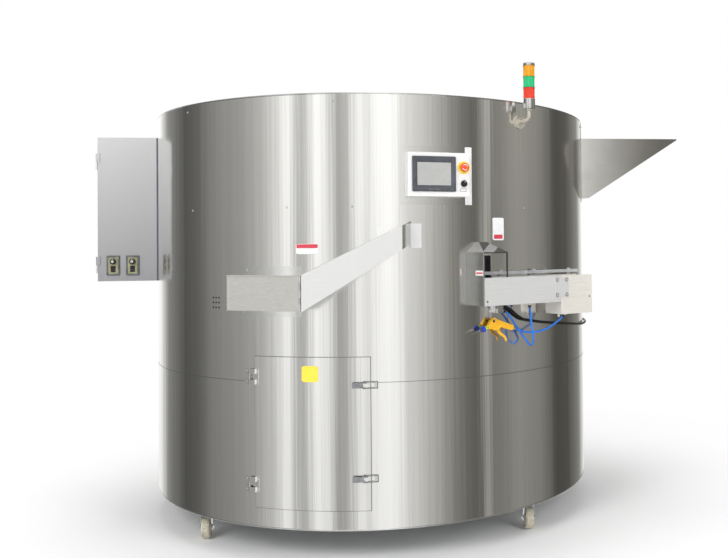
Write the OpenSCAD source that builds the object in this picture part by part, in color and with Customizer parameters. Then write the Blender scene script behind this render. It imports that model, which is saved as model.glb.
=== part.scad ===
// Rotary bottle unscrambler in a round stainless casing.
// The origin is on the floor, on the axis of the casing. The front faces -Y and +Z points up.
// Places on the casing are given as an angle from the front, counted towards +X.

/* [Casing] */
// Outer radius of the round casing
casing_r = 1100; // [1000:5:1200]
// Thickness of the casing sheet
casing_t = 3; // [2:0.5:4]
// Height of the casing's lower edge above the floor
casing_bottom = 140; // [135:1:160]
// Height of the seam between the lower and the upper band
seam_z = 745; // [700:5:770]
// Height of the casing's top edge
casing_top = 1940; // [1900:5:2000]
// Gap left between the casing and what is seated on it
seat = 0.3; // [0.1:0.1:0.5]
// Radius of the heads of the casing screws
screw_r = 5; // [3:0.5:7]

/* [Base frame] */
// Width of the base beams
beam_w = 60; // [50:5:80]
// Height of the base beams
beam_h = 60; // [50:5:80]
// Thickness of the floor plate
floor_t = 5; // [4:1:8]
// Turn of the beams and casters about the casing axis
caster_turn = -3; // [-6:1:6]
// Distance of the casters from the casing axis
caster_at = 1030; // [1000:5:1040]
// Side of the square posts inside the casing
post_w = 40; // [30:1:44]
// Angles of the posts from the front
post_at = [50, 112, 165, 215, 262, 312];

/* [Casters] */
// Radius of the wheels
wheel_r = 50; // [45:1:52]
// Width of the wheels
wheel_w = 38; // [30:1:40]
// Distance of the axle behind the king pin
trail = 28; // [20:1:35]
// Thickness of the fork cheeks
fork_t = 3; // [2:0.5:4]
// Radius of the axle bolt and of the king pin
axle_r = 6; // [5:0.5:8]
// Radial play of shafts and pins in their holes
play = 0.05; // [0.02:0.01:0.08]

/* [Deck and rotor] */
// Height of the deck on which the bottles stand
deck_z = 1084; // [1080:1:1088]
// Thickness of the deck
deck_t = 8; // [6:1:12]
// Height of the wall round the deck
wall_h = 216; // [180:4:240]
// Radius of the rotor drum
drum_r = 935; // [900:5:940]
// Height of the rotor drum
drum_h = 385; // [360:5:400]
// Height of the cone on the drum
cone_h = 120; // [80:5:150]
// Sheet thickness of the rotor
sheet = 3; // [2:0.5:4]
// Radius of the main shaft
shaft_r = 45; // [40:1:50]
// Number of bottle chutes round the drum
chute_count = 16; // [12:1:18]
// Width of one divider between two chutes
divider_w = 200; // [160:5:220]
// Running gap between the rotor and the deck, its wall and the drive
rotor_gap = 6; // [4:1:10]

/* [Drive] */
// Module of the gear teeth
tooth_module = 8; // [6:1:9]
// Teeth of the ring gear
ring_teeth = 72; // [64:1:80]
// Teeth of the pinion
pinion_teeth = 18; // [17:1:20]
// Width of the gears
gear_w = 40; // [30:2:44]
// Angle of the pinion from the front
pinion_at = 150; // [120:5:200]
// Radius of the pinion shaft
pinion_shaft_r = 20; // [16:1:24]

/* [Access door] */
// Angle of the left edge of the door
door_left = -27.4; // [-27.6:0.1:-26]
// Angle of the right edge of the door
door_right = -1.4; // [-4:0.1:-1.2]
// Height of the lower edge of the door
door_low = 222; // [220:1:240]
// Height of the upper edge of the door
door_high = 850; // [820:1:860]
// Thickness of the door skin
door_t = 2.6; // [2:0.1:3]
// Width that the door laps over the edge of its opening
door_lap = 18; // [12:1:24]
// Angle of the hinge axis
hinge_at = -28.6; // [-29.5:0.1:-28.4]
// Heights of the two hinges above the floor
hinge_z = [316, 765];
// Heights of the two latches above the floor
latch_z = [352, 736];
// Angle of the latch pivots
latch_at = -2.3; // [-4:0.1:-2.1]

/* [Cabinet] */
// Width of the electrical cabinet at its front
cabinet_w = 283; // [260:1:300]
// Height of the electrical cabinet
cabinet_h = 707; // [650:1:750]
// Depth of the electrical cabinet
cabinet_d = 260; // [220:5:300]
// Height of the underside of the cabinet
cabinet_z = 1145; // [1100:5:1180]
// Distance of the cabinet front before the casing axis
cabinet_front = 250; // [240:1:260]
// Sheet thickness of the cabinet
cabinet_t = 2; // [1.5:0.5:3]

/* [Operator panel] */
// Width of the operator box
panel_w = 266; // [250:1:280]
// Height of the operator box
panel_h = 182; // [170:1:200]
// How far the front of the box stands out from the casing's radius
panel_out = 50; // [40:1:70]
// Angle of the middle of the box
panel_at = 13.1; // [12:0.1:14]
// Height of the middle of the box
panel_z = 1601; // [1580:1:1620]
// Travel of the emergency stop button
stop_travel = 6; // [4:0.5:7]

/* [Tower light] */
// Angle of the tower light
tower_at = 35.4; // [34:0.1:38]
// Distance of the tower from the casing face
tower_out = 62; // [55:1:80]
// Height of the wall flange
tower_flange_z = 1854; // [1840:1:1860]
// Height of the metal base
tower_z = 1905; // [1900:1:1920]
// Radius of the lenses
lens_r = 26; // [22:1:30]
// Height of one lens
lens_h = 48; // [40:1:55]
// Radius of the tube
tube_r = 8.5; // [7:0.5:10]

/* [Side box and duct] */
// Direction in which the front of the side box faces
box_face = -27; // [-28:0.5:-26]
// How far the front of the side box stands out from the casing's radius
box_out = 95; // [85:1:105]
// Left end of the side box along its front
box_left = -78; // [-90:1:-60]
// Right end of the side box along its front
box_right = 269; // [262:1:272]
// Height of the underside of the side box
box_low = 1047; // [1040:1:1055]
// Height of the side box
box_h = 145; // [135:1:150]
// Direction in which the front of the duct faces
duct_face = 4.5; // [4:0.1:5]
// Rise of the duct's lower edge
duct_rise = 246; // [230:1:250]
// Height of the duct at its upper end
duct_end_h = 98; // [90:1:105]

/* [Hopper] */
// Width of the infeed hopper
hopper_w = 500; // [460:5:520]
// Reach of the hopper beyond the casing's radius
hopper_out = 492; // [450:1:520]
// Height of the upper edge of the hopper
hopper_top = 1861; // [1850:1:1870]
// Height of the hopper floor at the casing
hopper_low = 1549; // [1530:1:1560]
// Sheet thickness of the hopper
hopper_t = 2.5; // [2:0.5:4]

/* [Discharge conveyor] */
// Direction in which the outer side of the conveyor faces
conveyor_face = 30; // [29:0.5:31]
// How far the conveyor's outer face stands out from the casing's radius
conveyor_reach = 110; // [108:1:115]
// Width of the conveyor over its side plates
conveyor_w = 106; // [104:0.5:107]
// Left end of the conveyor
conveyor_left = -188; // [-195:1:-180]
// Joint between the side plates and the end block
conveyor_joint = 240; // [230:1:250]
// Right end of the conveyor
conveyor_right = 428; // [420:1:440]
// Height of the lower edge of the side plates
plate_low = 1056; // [1054:1:1057]
// Height of the upper edge of the side plates
plate_high = 1170; // [1160:1:1180]
// Height of the underside of the end block
block_low = 997; // [985:1:1000]
// Thickness of the conveyor's sheet
plate_t = 3; // [2:0.5:4]
// Thickness of the belt
belt_t = 2; // [1.5:0.5:3]
// Outer radius of the belt round its rollers
belt_turn_r = 13; // [12:0.5:13]
// Radius of the roller journals
journal_r = 5; // [4:0.5:6]
// Right end of the hood over the portal
hood_right = -60; // [-70:1:-50]
// Height of the eaves of the hood
hood_eaves = 1277; // [1265:1:1290]
// Height of the top of the hood
hood_top = 1320; // [1310:1:1330]

/* [Air gun] */
// Angle of the air gun's head
gun_at = 26; // [25:0.1:27]
// Height of the air gun's head
gun_z = 977; // [970:1:985]
// Distance from the casing face to the middle of the gun
gun_out = 28; // [26:1:34]

/* [Hidden] */

// Fineness of the large rounds, of the middle ones and of the small ones
fine = 180;
mid = 48;
low = 24;
// Amount by which a cut runs past the face it opens
over = 5;
// Sheet thickness of the hood, and thickness of the air gun's body
hood_t = 2;
gun_t = 20;
eps = 0.3;

casing_in = casing_r - casing_t;
panel_front = casing_r + panel_out;
box_front = casing_r + box_out;
hopper_reach = casing_r + hopper_out;
conveyor_out = casing_r + conveyor_reach;
floor_z = casing_bottom + beam_h;
floor_top = floor_z + floor_t;
drum_z = deck_z + 11;
drum_top = drum_z + drum_h;
wall_r = casing_in - post_w - 4;

// Moves children to a place on the casing: X runs along the face to the right, -Y points outwards
module on_casing(at, z) {
  rotate([0, 0, at]) translate([0, -casing_r, z]) children();
}

// Moves children to a flat frame turned to face the given direction, with Y counted from the casing axis
module facing(at) {
  rotate([0, 0, at]) children();
}

// A band of a tube between two angles from the front
module band(from, to, r_in, r_out, z_low, z_high) {
  rotate([0, 0, from - 90])
    rotate_extrude(angle = to - from, $fn = fine)
      translate([r_in, z_low]) square([r_out - r_in, z_high - z_low]);
}

// A tube of full turn
module tube(r_out, r_in, z_low, z_high, n = mid) {
  translate([0, 0, z_low]) difference() {
    cylinder(h = z_high - z_low, r = r_out, $fn = n);
    translate([0, 0, -over]) cylinder(h = z_high - z_low + 2 * over, r = r_in, $fn = n);
  }
}

// A box between two corners
module span(a, b) {
  translate(a) cube(b - a);
}

// Everything that lies clear outside the casing face
module off_casing() {
  difference() {
    children();
    rotate([0, 0, 120]) cylinder(h = 2 * casing_top, r = casing_r + seat, $fn = fine);
  }
}

// A screw with a washer head that stands out along -Y
screw_head_h = 3;
module screw(r = screw_r) {
  rotate([90, 0, 0]) {
    cylinder(h = screw_head_h / 2, r = r, $fn = low);
    cylinder(h = screw_head_h, r = r * 0.7, $fn = 6);
  }
}

// Base frame: two crossed beams, the floor plate, the caster plates and their king pins
caster_plate = [100, 85, 6];
pin_nut_h = 5;
fork_top_z = casing_bottom - caster_plate[2] - seat;
fork_plate_h = 8;
king_nut_z = fork_top_z - fork_plate_h - seat;
beam_reach = casing_in - 12;
function caster_angle(i) = 45 + 90 * i + caster_turn;
module at_caster(i) {
  rotate([0, 0, caster_angle(i)]) translate([0, -caster_at, 0])
    rotate([0, 0, -caster_angle(i)]) children();
}
module base_frame() color("#9a9c9e") {
  for (i = [0, 1]) rotate([0, 0, caster_angle(i)])
    translate([-beam_w / 2, -beam_reach, casing_bottom]) cube([beam_w, 2 * beam_reach, beam_h]);
  translate([0, 0, floor_z]) cylinder(h = floor_t, r = casing_in - seat, $fn = fine);
  for (i = [0:3]) at_caster(i) {
    translate([-caster_plate[0] / 2, -caster_plate[1] / 2, casing_bottom - caster_plate[2]])
      cube(caster_plate);
    translate([0, 0, king_nut_z - pin_nut_h])
      cylinder(h = casing_bottom - king_nut_z, r = axle_r, $fn = mid);
    translate([0, 0, king_nut_z - pin_nut_h]) cylinder(h = pin_nut_h, r = axle_r * 1.6, $fn = 6);
  }
}

// Caster forks and wheels
cheek_gap = wheel_w + 4;
cheek_top = 26;
axle_boss = 14;
fork_disc_r = 30;
module fork(i) color("#c8cacc") at_caster(i) {
  difference() {
    union() {
      translate([0, 0, fork_top_z - fork_plate_h]) cylinder(h = fork_plate_h, r = fork_disc_r, $fn = mid);
      for (side = [-1, 1]) translate([side * (cheek_gap + fork_t) / 2, 0, 0]) {
        rotate([90, 0, 90]) translate([0, 0, -fork_t / 2]) linear_extrude(fork_t)
          polygon([[-cheek_top / 2, fork_top_z - fork_plate_h / 2],
            [cheek_top / 2, fork_top_z - fork_plate_h / 2],
            [trail + axle_boss, wheel_r + axle_boss / 2], [trail + axle_boss / 2, wheel_r - axle_boss],
            [trail - axle_boss / 2, wheel_r - axle_boss], [trail - axle_boss, wheel_r + axle_boss / 2]]);
      }
    }
    translate([0, 0, fork_top_z - 2 * fork_plate_h])
      cylinder(h = 3 * fork_plate_h, r = axle_r + play, $fn = mid);
  }
  axle_len = cheek_gap + 2 * fork_t + 12;
  translate([-axle_len / 2, trail, wheel_r]) rotate([0, 90, 0]) {
    cylinder(h = axle_len, r = axle_r, $fn = mid);
    cylinder(h = 5, r = axle_r * 1.7, $fn = 6);
    translate([0, 0, axle_len - 5]) cylinder(h = 5, r = axle_r * 1.7, $fn = 6);
  }
}
hub_r = 18;
tread_round = 8;
module wheel(i) color("#d8cba6") at_caster(i) {
  translate([0, trail, wheel_r]) rotate([0, 90, 0]) rotate_extrude($fn = 96)
    polygon([[axle_r + play, -wheel_w / 2], [hub_r, -wheel_w / 2], [hub_r + 2, -wheel_w / 2 + 5],
      [wheel_r - tread_round - 3, -wheel_w / 2 + 5], [wheel_r - tread_round, -wheel_w / 2 + 1],
      [wheel_r - tread_round / 3, -wheel_w / 2 + tread_round / 3], [wheel_r, -wheel_w / 2 + tread_round],
      [wheel_r, wheel_w / 2 - tread_round], [wheel_r - tread_round / 3, wheel_w / 2 - tread_round / 3],
      [wheel_r - tread_round, wheel_w / 2 - 1], [wheel_r - tread_round - 3, wheel_w / 2 - 5],
      [hub_r + 2, wheel_w / 2 - 5], [hub_r, wheel_w / 2], [axle_r + play, wheel_w / 2]]);
}

// Posts, the ring that they carry just below the casing's top edge, and before them the bent panels of the
// rim wall, which stand on the deck and leave the portal open
ring_drop = 40;
ring_t = 10;
post_top = casing_top - ring_drop;
rim_t = 2;
rim_panels = 24;
joint_gap = 0.05;
module rim_wall() difference() {
  for (k = [0:rim_panels - 1]) rotate([0, 0, k * 360 / rim_panels])
    band(joint_gap, 360 / rim_panels - joint_gap, wall_r, wall_r + rim_t, deck_z + eps, deck_z + wall_h);
  portal_passage();
}
module casing_frame() color("#a8aaac") {
  rim_wall();
  for (a = post_at) rotate([0, 0, a]) translate([-post_w / 2, -casing_in + 5 * eps, floor_top + eps])
    cube([post_w, post_w, post_top + ring_t / 2 - floor_top - eps]);
  tube(casing_in - seat, casing_in - post_w, post_top, post_top + ring_t, fine);
}

// Where the portal, the duct, the side box and the hopper pass through the casing
portal_left = -180;
portal_right = -66;
portal_high = 1262;
box_port = [-20, 220];
duct_port_s = [-70, 6];
duct_port_z = [1290, 1375];
door_open_left = door_left + door_lap / casing_r * 57.3;
door_open_right = door_right - door_lap / casing_r * 57.3;
module casing_cuts() {
  band(door_open_left, door_open_right, casing_in - over, casing_r + over,
    door_low + door_lap, door_high - door_lap);
  facing(conveyor_face) span([portal_left, -casing_r - 20, deck_z - 6],
    [portal_right, -casing_in + 80, portal_high]);
  facing(box_face) span([box_port[0], -casing_r - 20, box_low + 12],
    [box_port[1], -casing_in + 80, box_low + box_h - 12]);
  facing(duct_face) span([duct_port_s[0], -casing_r - 20, duct_port_z[0]],
    [duct_port_s[1], -casing_in + 20, duct_port_z[1]]);
  span([casing_r - 80, -hopper_w / 2 + 12, hopper_low + 30],
    [casing_r + 20, hopper_w / 2 - 12, hopper_top - 12]);
}
module casing_lower() color("#b9bbbc") difference() {
  tube(casing_r, casing_in, casing_bottom, seam_z, fine);
  casing_cuts();
}
module casing_upper() color("#c3c5c6") difference() {
  tube(casing_r, casing_in, seam_z, casing_top, fine);
  casing_cuts();
}

// Rows of screws in the casing: the heads sit on its face
upper_row_z = 1908;
mid_row_z = 1470;
upper_row = [for (k = [0:8]) -49 + 40 * k];
mid_row = [-47, -19.5, -5, 15.5, 37, 66, 110, 137, 165, 193, 220, 248];
module casing_screws() color("#d5d7d8") {
  for (a = upper_row) on_casing(a, upper_row_z) translate([0, -seat, 0]) screw();
  for (a = mid_row) on_casing(a, mid_row_z) translate([0, -seat, 0]) screw();
}

// Column in the middle, with seats for the two main bearings
column_r = 110;
foot_r = 230;
foot_t = 20;
bearing_r = 75;
bearing_h = 40;
column_top = deck_z - deck_t - eps;
bearing_low_z = 560;
shaft_low = 520;
module column() color("#8d9092") difference() {
  union() {
    translate([0, 0, floor_top + eps]) cylinder(h = foot_t, r = foot_r, $fn = mid);
    translate([0, 0, floor_top + eps]) cylinder(h = column_top - floor_top - eps, r = column_r, $fn = mid);
    translate([0, 0, column_top - foot_t]) cylinder(h = foot_t, r = foot_r * 0.8, $fn = mid);
  }
  translate([0, 0, bearing_low_z]) cylinder(h = column_top, r = bearing_r, $fn = mid);
  translate([0, 0, shaft_low - foot_t]) cylinder(h = column_top, r = shaft_r + rotor_gap, $fn = mid);
}
module main_bearings() color("#b0b4b8") {
  tube(bearing_r - play, shaft_r + play, bearing_low_z + play, bearing_low_z + bearing_h);
  tube(bearing_r - play, shaft_r + play, column_top - bearing_h, column_top - play);
}

// Deck on which the bottles stand
pinion_gap = (ring_teeth + pinion_teeth) * tooth_module / 2;
module portal_passage() {
  facing(conveyor_face) span([portal_left - 30, -casing_r, deck_z],
    [portal_right, -wall_r * 0.93, portal_high + wall_h]);
}
module deck() color("#c5c7c9") difference() {
  translate([0, 0, deck_z - deck_t]) cylinder(h = deck_t, r = wall_r + rim_t, $fn = fine);
  translate([0, 0, deck_z - 2 * deck_t]) cylinder(h = 3 * deck_t, r = shaft_r + rotor_gap, $fn = mid);
  rotate([0, 0, pinion_at]) translate([0, -pinion_gap, deck_z - 2 * deck_t])
    cylinder(h = 3 * deck_t, r = pinion_shaft_r + rotor_gap, $fn = mid);
}

// Gear motor hung under the deck: gearbox with a bore for the pinion shaft, motor and fan cover below
gearbox = [190, 190, 120];
motor_r = 78;
motor_h = 250;
module gear_motor() color("#4f6f92") rotate([0, 0, pinion_at]) translate([0, -pinion_gap, 0]) {
  top = deck_z - deck_t - eps;
  difference() {
    translate([-gearbox[0] / 2, -gearbox[1] / 2, top - gearbox[2]]) cube(gearbox);
    translate([0, 0, top - gearbox[2] + foot_t])
      cylinder(h = gearbox[2], r = pinion_shaft_r + play, $fn = mid);
  }
  translate([0, 0, top - gearbox[2] - motor_h]) cylinder(h = motor_h, r = motor_r, $fn = mid);
  for (k = [0:15]) rotate([0, 0, k * 22.5]) translate([motor_r - 2, -1.5, top - gearbox[2] - motor_h * 0.75])
    cube([8, 3, motor_h * 0.65]);
}

// Involute gear outline
pressure_angle = 20;
tooth_play = 0.35;
function involute(a) = tan(a) * 180 / PI - a;
function flank(r, rb, teeth, rp) = 90 / teeth - tooth_play / rp * 57.3 + involute(pressure_angle)
  - (r > rb ? involute(acos(rb / r)) : 0);
module gear_outline(teeth) {
  rp = teeth * tooth_module / 2;
  rb = rp * cos(pressure_angle);
  ra = rp + tooth_module;
  rf = rp - 1.25 * tooth_module;
  steps = [for (i = [0:4]) max(rb, rf) + (ra - max(rb, rf)) * i / 4];
  radii = concat([rf], steps);
  polygon([for (k = [0:teeth - 1], side = [-1, 1], j = [0:5])
    let (r = side < 0 ? radii[j] : radii[5 - j], a = k * 360 / teeth + side * flank(r, rb, teeth, rp))
    [r * cos(a), r * sin(a)]]);
}
gear_z = deck_z + 16;
module ring_gear() color("#7f8386") rotate([0, 0, pinion_at - 90]) difference() {
  translate([0, 0, gear_z]) linear_extrude(gear_w) gear_outline(ring_teeth);
  cylinder(h = casing_top, r = shaft_r + play, $fn = mid);
  for (k = [0:5]) rotate([0, 0, k * 60]) translate([0, ring_teeth * tooth_module * 0.3, 0])
    cylinder(h = casing_top, r = hub_cap_r * 0.62, $fn = mid);
}
module pinion() color("#8a8e91") rotate([0, 0, pinion_at]) translate([0, -pinion_gap, 0]) {
  rotate([0, 0, 90 + 180 / pinion_teeth]) translate([0, 0, gear_z]) linear_extrude(gear_w)
    gear_outline(pinion_teeth);
  translate([0, 0, deck_z - gearbox[2] + 16])
    cylinder(h = gear_z - deck_z + gearbox[2] - 15, r = pinion_shaft_r, $fn = mid);
}

// Main shaft, drum with its cone, and the bent dividers that form the chutes
hub_cap_r = 90;
web_z = gear_z + gear_w + rotor_gap;
web_t = 4;
module main_shaft() color("#b5b9bc") {
  translate([0, 0, shaft_low]) cylinder(h = drum_top + cone_h - shaft_low - web_t, r = shaft_r, $fn = mid);
}
module rotor_drum() color("#cfd1d2") {
  difference() {
    rotate_extrude($fn = fine) {
      polygon([[drum_r - sheet, drum_z], [drum_r, drum_z], [drum_r, drum_top], [hub_cap_r, drum_top + cone_h],
        [0, drum_top + cone_h], [0, drum_top + cone_h - sheet],
          [hub_cap_r - sheet, drum_top + cone_h - sheet],
        [drum_r - sheet, drum_top - sheet]]);
      translate([shaft_r + play, web_z]) square([drum_r - sheet / 2 - shaft_r, web_t]);
      translate([shaft_r + play, web_z]) square([hub_cap_r - shaft_r, drum_top + cone_h - web_z - sheet / 2]);
    }
    for (k = [0:7]) rotate([0, 0, k * 45]) translate([drum_r * 0.6, 0, web_z - over])
      cylinder(h = web_t + 2 * over, r = drum_r * 0.14, $fn = mid);
  }
}
divider_top_w = 10;
shoulder_share = 0.36;
chute_low = deck_z + 16;
module divider_outline(inset) {
  shoulder = chute_low + drum_h * shoulder_share;
  polygon([[-divider_w / 2 + inset, chute_low - (inset > 0 ? over : 0)],
    [divider_w / 2 - inset, chute_low - (inset > 0 ? over : 0)], [divider_w / 2 - inset, shoulder],
    [divider_top_w / 2, drum_top - inset * 4], [-divider_top_w / 2, drum_top - inset * 4],
    [-divider_w / 2 + inset, shoulder]]);
}
module rotor_chutes() color("#d9dbdc") difference() {
  for (k = [0:chute_count - 1]) rotate([0, 0, (k + 0.5) * 360 / chute_count])
    rotate([90, 0, 0]) difference() {
      translate([0, 0, drum_r - 20]) linear_extrude(wall_r - rotor_gap - drum_r + 20) divider_outline(0);
      translate([0, 0, drum_r - 30]) linear_extrude(wall_r - drum_r + 60) divider_outline(sheet - 1);
    }
  cylinder(h = casing_top, r = drum_r + seat, $fn = fine);
  tube(casing_r + 100, wall_r - rotor_gap, 0, casing_top, fine);
}

// Electrical cabinet, scribed to the casing, with its door and two speed controllers
cabinet_left = -1357;
cabinet_door_t = 2.7;
module cabinet_block(inset) {
  translate([cabinet_left + inset, -cabinet_front + cabinet_door_t + eps + (inset > 0 ? -over : 0),
    cabinet_z + inset])
    cube([casing_r - inset, cabinet_d + (inset > 0 ? over - inset : 0), cabinet_h - 2 * inset]);
}
barrel_r = 4;
barrel_h = 40;
cabinet_barrel_z = [cabinet_z + 80, cabinet_z + cabinet_h - 120];
module cabinet_housing() color("#c9cbcf") {
  difference() {
    cabinet_block(0);
    difference() {
      cabinet_block(cabinet_t);
      cylinder(h = casing_top, r = casing_r + seat + cabinet_t, $fn = fine);
    }
    cylinder(h = casing_top, r = casing_r + seat, $fn = fine);
    translate([-casing_r + 60, -cabinet_front, 0]) cube([casing_r, cabinet_d + 100, casing_top]);
  }
  for (z = cabinet_barrel_z) translate([cabinet_left - barrel_r - eps, -cabinet_front, z]) {
    cylinder(h = barrel_h, r = barrel_r / 2, $fn = low);
    translate([0, 0, -barrel_h]) cylinder(h = barrel_h, r = barrel_r, $fn = low);
    translate([0, 0, -barrel_h]) cube([barrel_r, 2 * barrel_r, barrel_h]);
    translate([0, cabinet_door_t + 2 * eps, -barrel_h]) cube([barrel_r + 2, barrel_r, barrel_h]);
  }
}
controller_w = 62;
controller_h = 97;
controller_x = [-1315, -1223];
controller_z = 1173;
module cabinet_door() color("#cdd0d6") {
  difference() {
    union() {
      translate([cabinet_left, -cabinet_front, cabinet_z]) cube([cabinet_w, cabinet_door_t, cabinet_h]);
      for (x = controller_x) translate([x, -cabinet_front - 4, controller_z])
        cube([controller_w, 5, controller_h]);
    }
    for (x = controller_x) {
      translate([x + controller_w / 2, -cabinet_front + over, controller_z + controller_h * 0.7])
        rotate([90, 0, 0]) cylinder(h = 4 * over, r = knob_stem_r + play, $fn = low);
      translate([x + controller_w / 2 - rocker_w / 2 - eps, -cabinet_front - over, controller_z + 16 - eps])
        cube([rocker_w + 2 * eps, 4 * over, rocker_h + 2 * eps]);
    }
  }
  for (z = cabinet_barrel_z) translate([cabinet_left - barrel_r - eps, -cabinet_front, z + eps])
    difference() {
    union() {
      cylinder(h = barrel_h, r = barrel_r, $fn = low);
      translate([0, -barrel_r, 0]) cube([2 * barrel_r + 8, barrel_r, barrel_h]);
    }
    translate([0, 0, -over]) cylinder(h = barrel_h + 2 * over, r = barrel_r / 2 + play, $fn = low);
  }
}
knob_stem_r = 4;
knob_r = 14;
knob_h = 14;
module speed_knob(x) color("#2b2b2d")
  translate([x + controller_w / 2, -cabinet_front - 4 - eps, controller_z + controller_h * 0.7])
    rotate([90, 0, 0]) {
    translate([0, 0, -8]) cylinder(h = 9, r = knob_stem_r, $fn = low);
    difference() {
      cylinder(h = knob_h, r = knob_r, $fn = mid);
      for (k = [0:17]) rotate([0, 0, k * 20]) translate([knob_r + 0.6, 0, 3])
        cylinder(h = knob_h, r = 1.4, $fn = 13);
    }
    translate([-1, knob_r * 0.2, knob_h - 1]) cube([2, knob_r * 0.7, 2]);
  }
rocker_w = 22;
rocker_h = 30;
module rocker(x) color("#1d1d1f")
  translate([x + controller_w / 2 - rocker_w / 2, -cabinet_front - 2, controller_z + 16]) rotate([90, 0, 90])
    linear_extrude(rocker_w) polygon([[0, 2.5], [-5, 2.5], [-3, rocker_h / 2], [-7, rocker_h - 2.5],
      [0, rocker_h - 2.5]]);

// Operator panel: wall frame and box, touch screen, stop button and selector
frame_margin = 32;
panel_low = panel_z - panel_h / 2;
stop_s = 108;
stop_z = 1631;
select_z = 1564;
stem_r = 11;
module operator_box() color("#cfd1d0") {
  off_casing() facing(panel_at) difference() {
    translate([-panel_w / 2, -panel_front, panel_low]) cube([panel_w, panel_front - casing_r + 20, panel_h]);
    translate([-panel_w / 2 + 2, -panel_front + 2, panel_low + 2])
      cube([panel_w - 4, panel_front - casing_r + 30, panel_h - 4]);
    for (z = [stop_z, select_z]) translate([stop_s, -panel_front + over, z]) rotate([90, 0, 0])
      cylinder(h = 2 * over, r = stem_r + play, $fn = low);
  }
  difference() {
    band(panel_at - 7.9, panel_at + 8.6, casing_r + seat, casing_r + seat + 2,
      panel_low - frame_margin, panel_low + panel_h + frame_margin);
    facing(panel_at) translate([-panel_w / 2 + 1, -panel_front, panel_low + 1])
      cube([panel_w - 2, panel_front, panel_h - 2]);
  }
  facing(panel_at) translate([stop_s, -panel_front, stop_z]) rotate([90, 0, 0]) tube(26, stem_r + play, 0, 2);
  facing(panel_at) translate([stop_s, -panel_front, select_z]) rotate([90, 0, 0])
    tube(14, stem_r + play, 0, 3);
}
screen_w = 188;
screen_h = 146;
screen_s = -21;
module touch_screen() color("#4a5668") facing(panel_at)
  translate([screen_s, -panel_front - eps, panel_z + 2]) difference() {
    translate([-screen_w / 2, -7, -screen_h / 2]) cube([screen_w, 7, screen_h]);
    translate([-screen_w / 2 + 20, -10, -screen_h / 2 + 24]) cube([screen_w - 40, 4, screen_h - 48]);
  }
module stop_button() color("#d23b2e") facing(panel_at) translate([stop_s, -panel_front, stop_z])
  rotate([90, 0, 0]) {
    translate([0, 0, -14]) cylinder(h = 22 + stop_travel, r = stem_r, $fn = low);
    translate([0, 0, 3 + stop_travel]) rotate_extrude($fn = mid)
      polygon([[0, 0], [16, 0], [19, 4], [19, 9], [16, 12], [9, 14], [0, 14.6]]);
  }
module selector_knob() color("#1f1f21") facing(panel_at) translate([stop_s, -panel_front, select_z])
  rotate([90, 0, 0]) {
    translate([0, 0, -10]) cylinder(h = 16, r = stem_r, $fn = low);
    translate([0, 0, 3 + eps]) cylinder(h = 6, r = 13, $fn = mid);
    translate([-4, -13, 3 + eps]) cube([8, 26, 16]);
  }

// Tower light on its bent tube
bend_r = 24;
module at_tower() {
  rotate([0, 0, tower_at]) translate([0, -casing_r - tower_out, 0]) children();
}
tower_base_h = 43;
cap_h = 12;
module tower_stem() color("#cfc7b4") {
  at_tower() {
    translate([0, 0, tower_flange_z + bend_r])
      cylinder(h = tower_z - tower_flange_z - bend_r, r = tube_r, $fn = low);
    translate([0, bend_r, tower_flange_z + bend_r]) rotate([90, 0, 90])
      rotate_extrude(angle = 90, $fn = mid) translate([-bend_r, 0]) circle(r = tube_r, $fn = low);
    translate([0, bend_r, tower_flange_z]) rotate([-90, 0, 0])
      cylinder(h = tower_out - bend_r - 8, r = tube_r, $fn = low);
    translate([0, 0, tower_z]) cylinder(h = tower_base_h, r = lens_r, $fn = mid);
    translate([0, 0, tower_z + tower_base_h]) cylinder(h = 3 * lens_h + 4, r = 4, $fn = low);
    translate([0, 0, tower_z + tower_base_h + 3 * lens_h + 4 * eps])
      cylinder(h = cap_h, r = lens_r, $fn = mid);
  }
  off_casing() on_casing(tower_at, tower_flange_z) rotate([90, 0, 0]) {
    translate([0, 0, -2]) cylinder(h = 8, r = 32, $fn = mid);
    cylinder(h = 16, r = 15, $fn = mid);
  }
}
module lens(k) {
  at_tower() translate([0, 0, tower_z + tower_base_h + k * lens_h + (k + 1) * eps]) difference() {
    union() {
      cylinder(h = lens_h - eps, r = lens_r - 1, $fn = mid);
      cylinder(h = 4, r = lens_r, $fn = mid);
      translate([0, 0, lens_h - 4 - eps]) cylinder(h = 4, r = lens_r, $fn = mid);
    }
    translate([0, 0, -over]) cylinder(h = lens_h + 2 * over, r = 4 + eps, $fn = low);
  }
}
module lens_red() color("#d8281c") lens(0);
module lens_green() color("#14a05a") lens(1);
module lens_amber() color("#e89010") lens(2);

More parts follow.
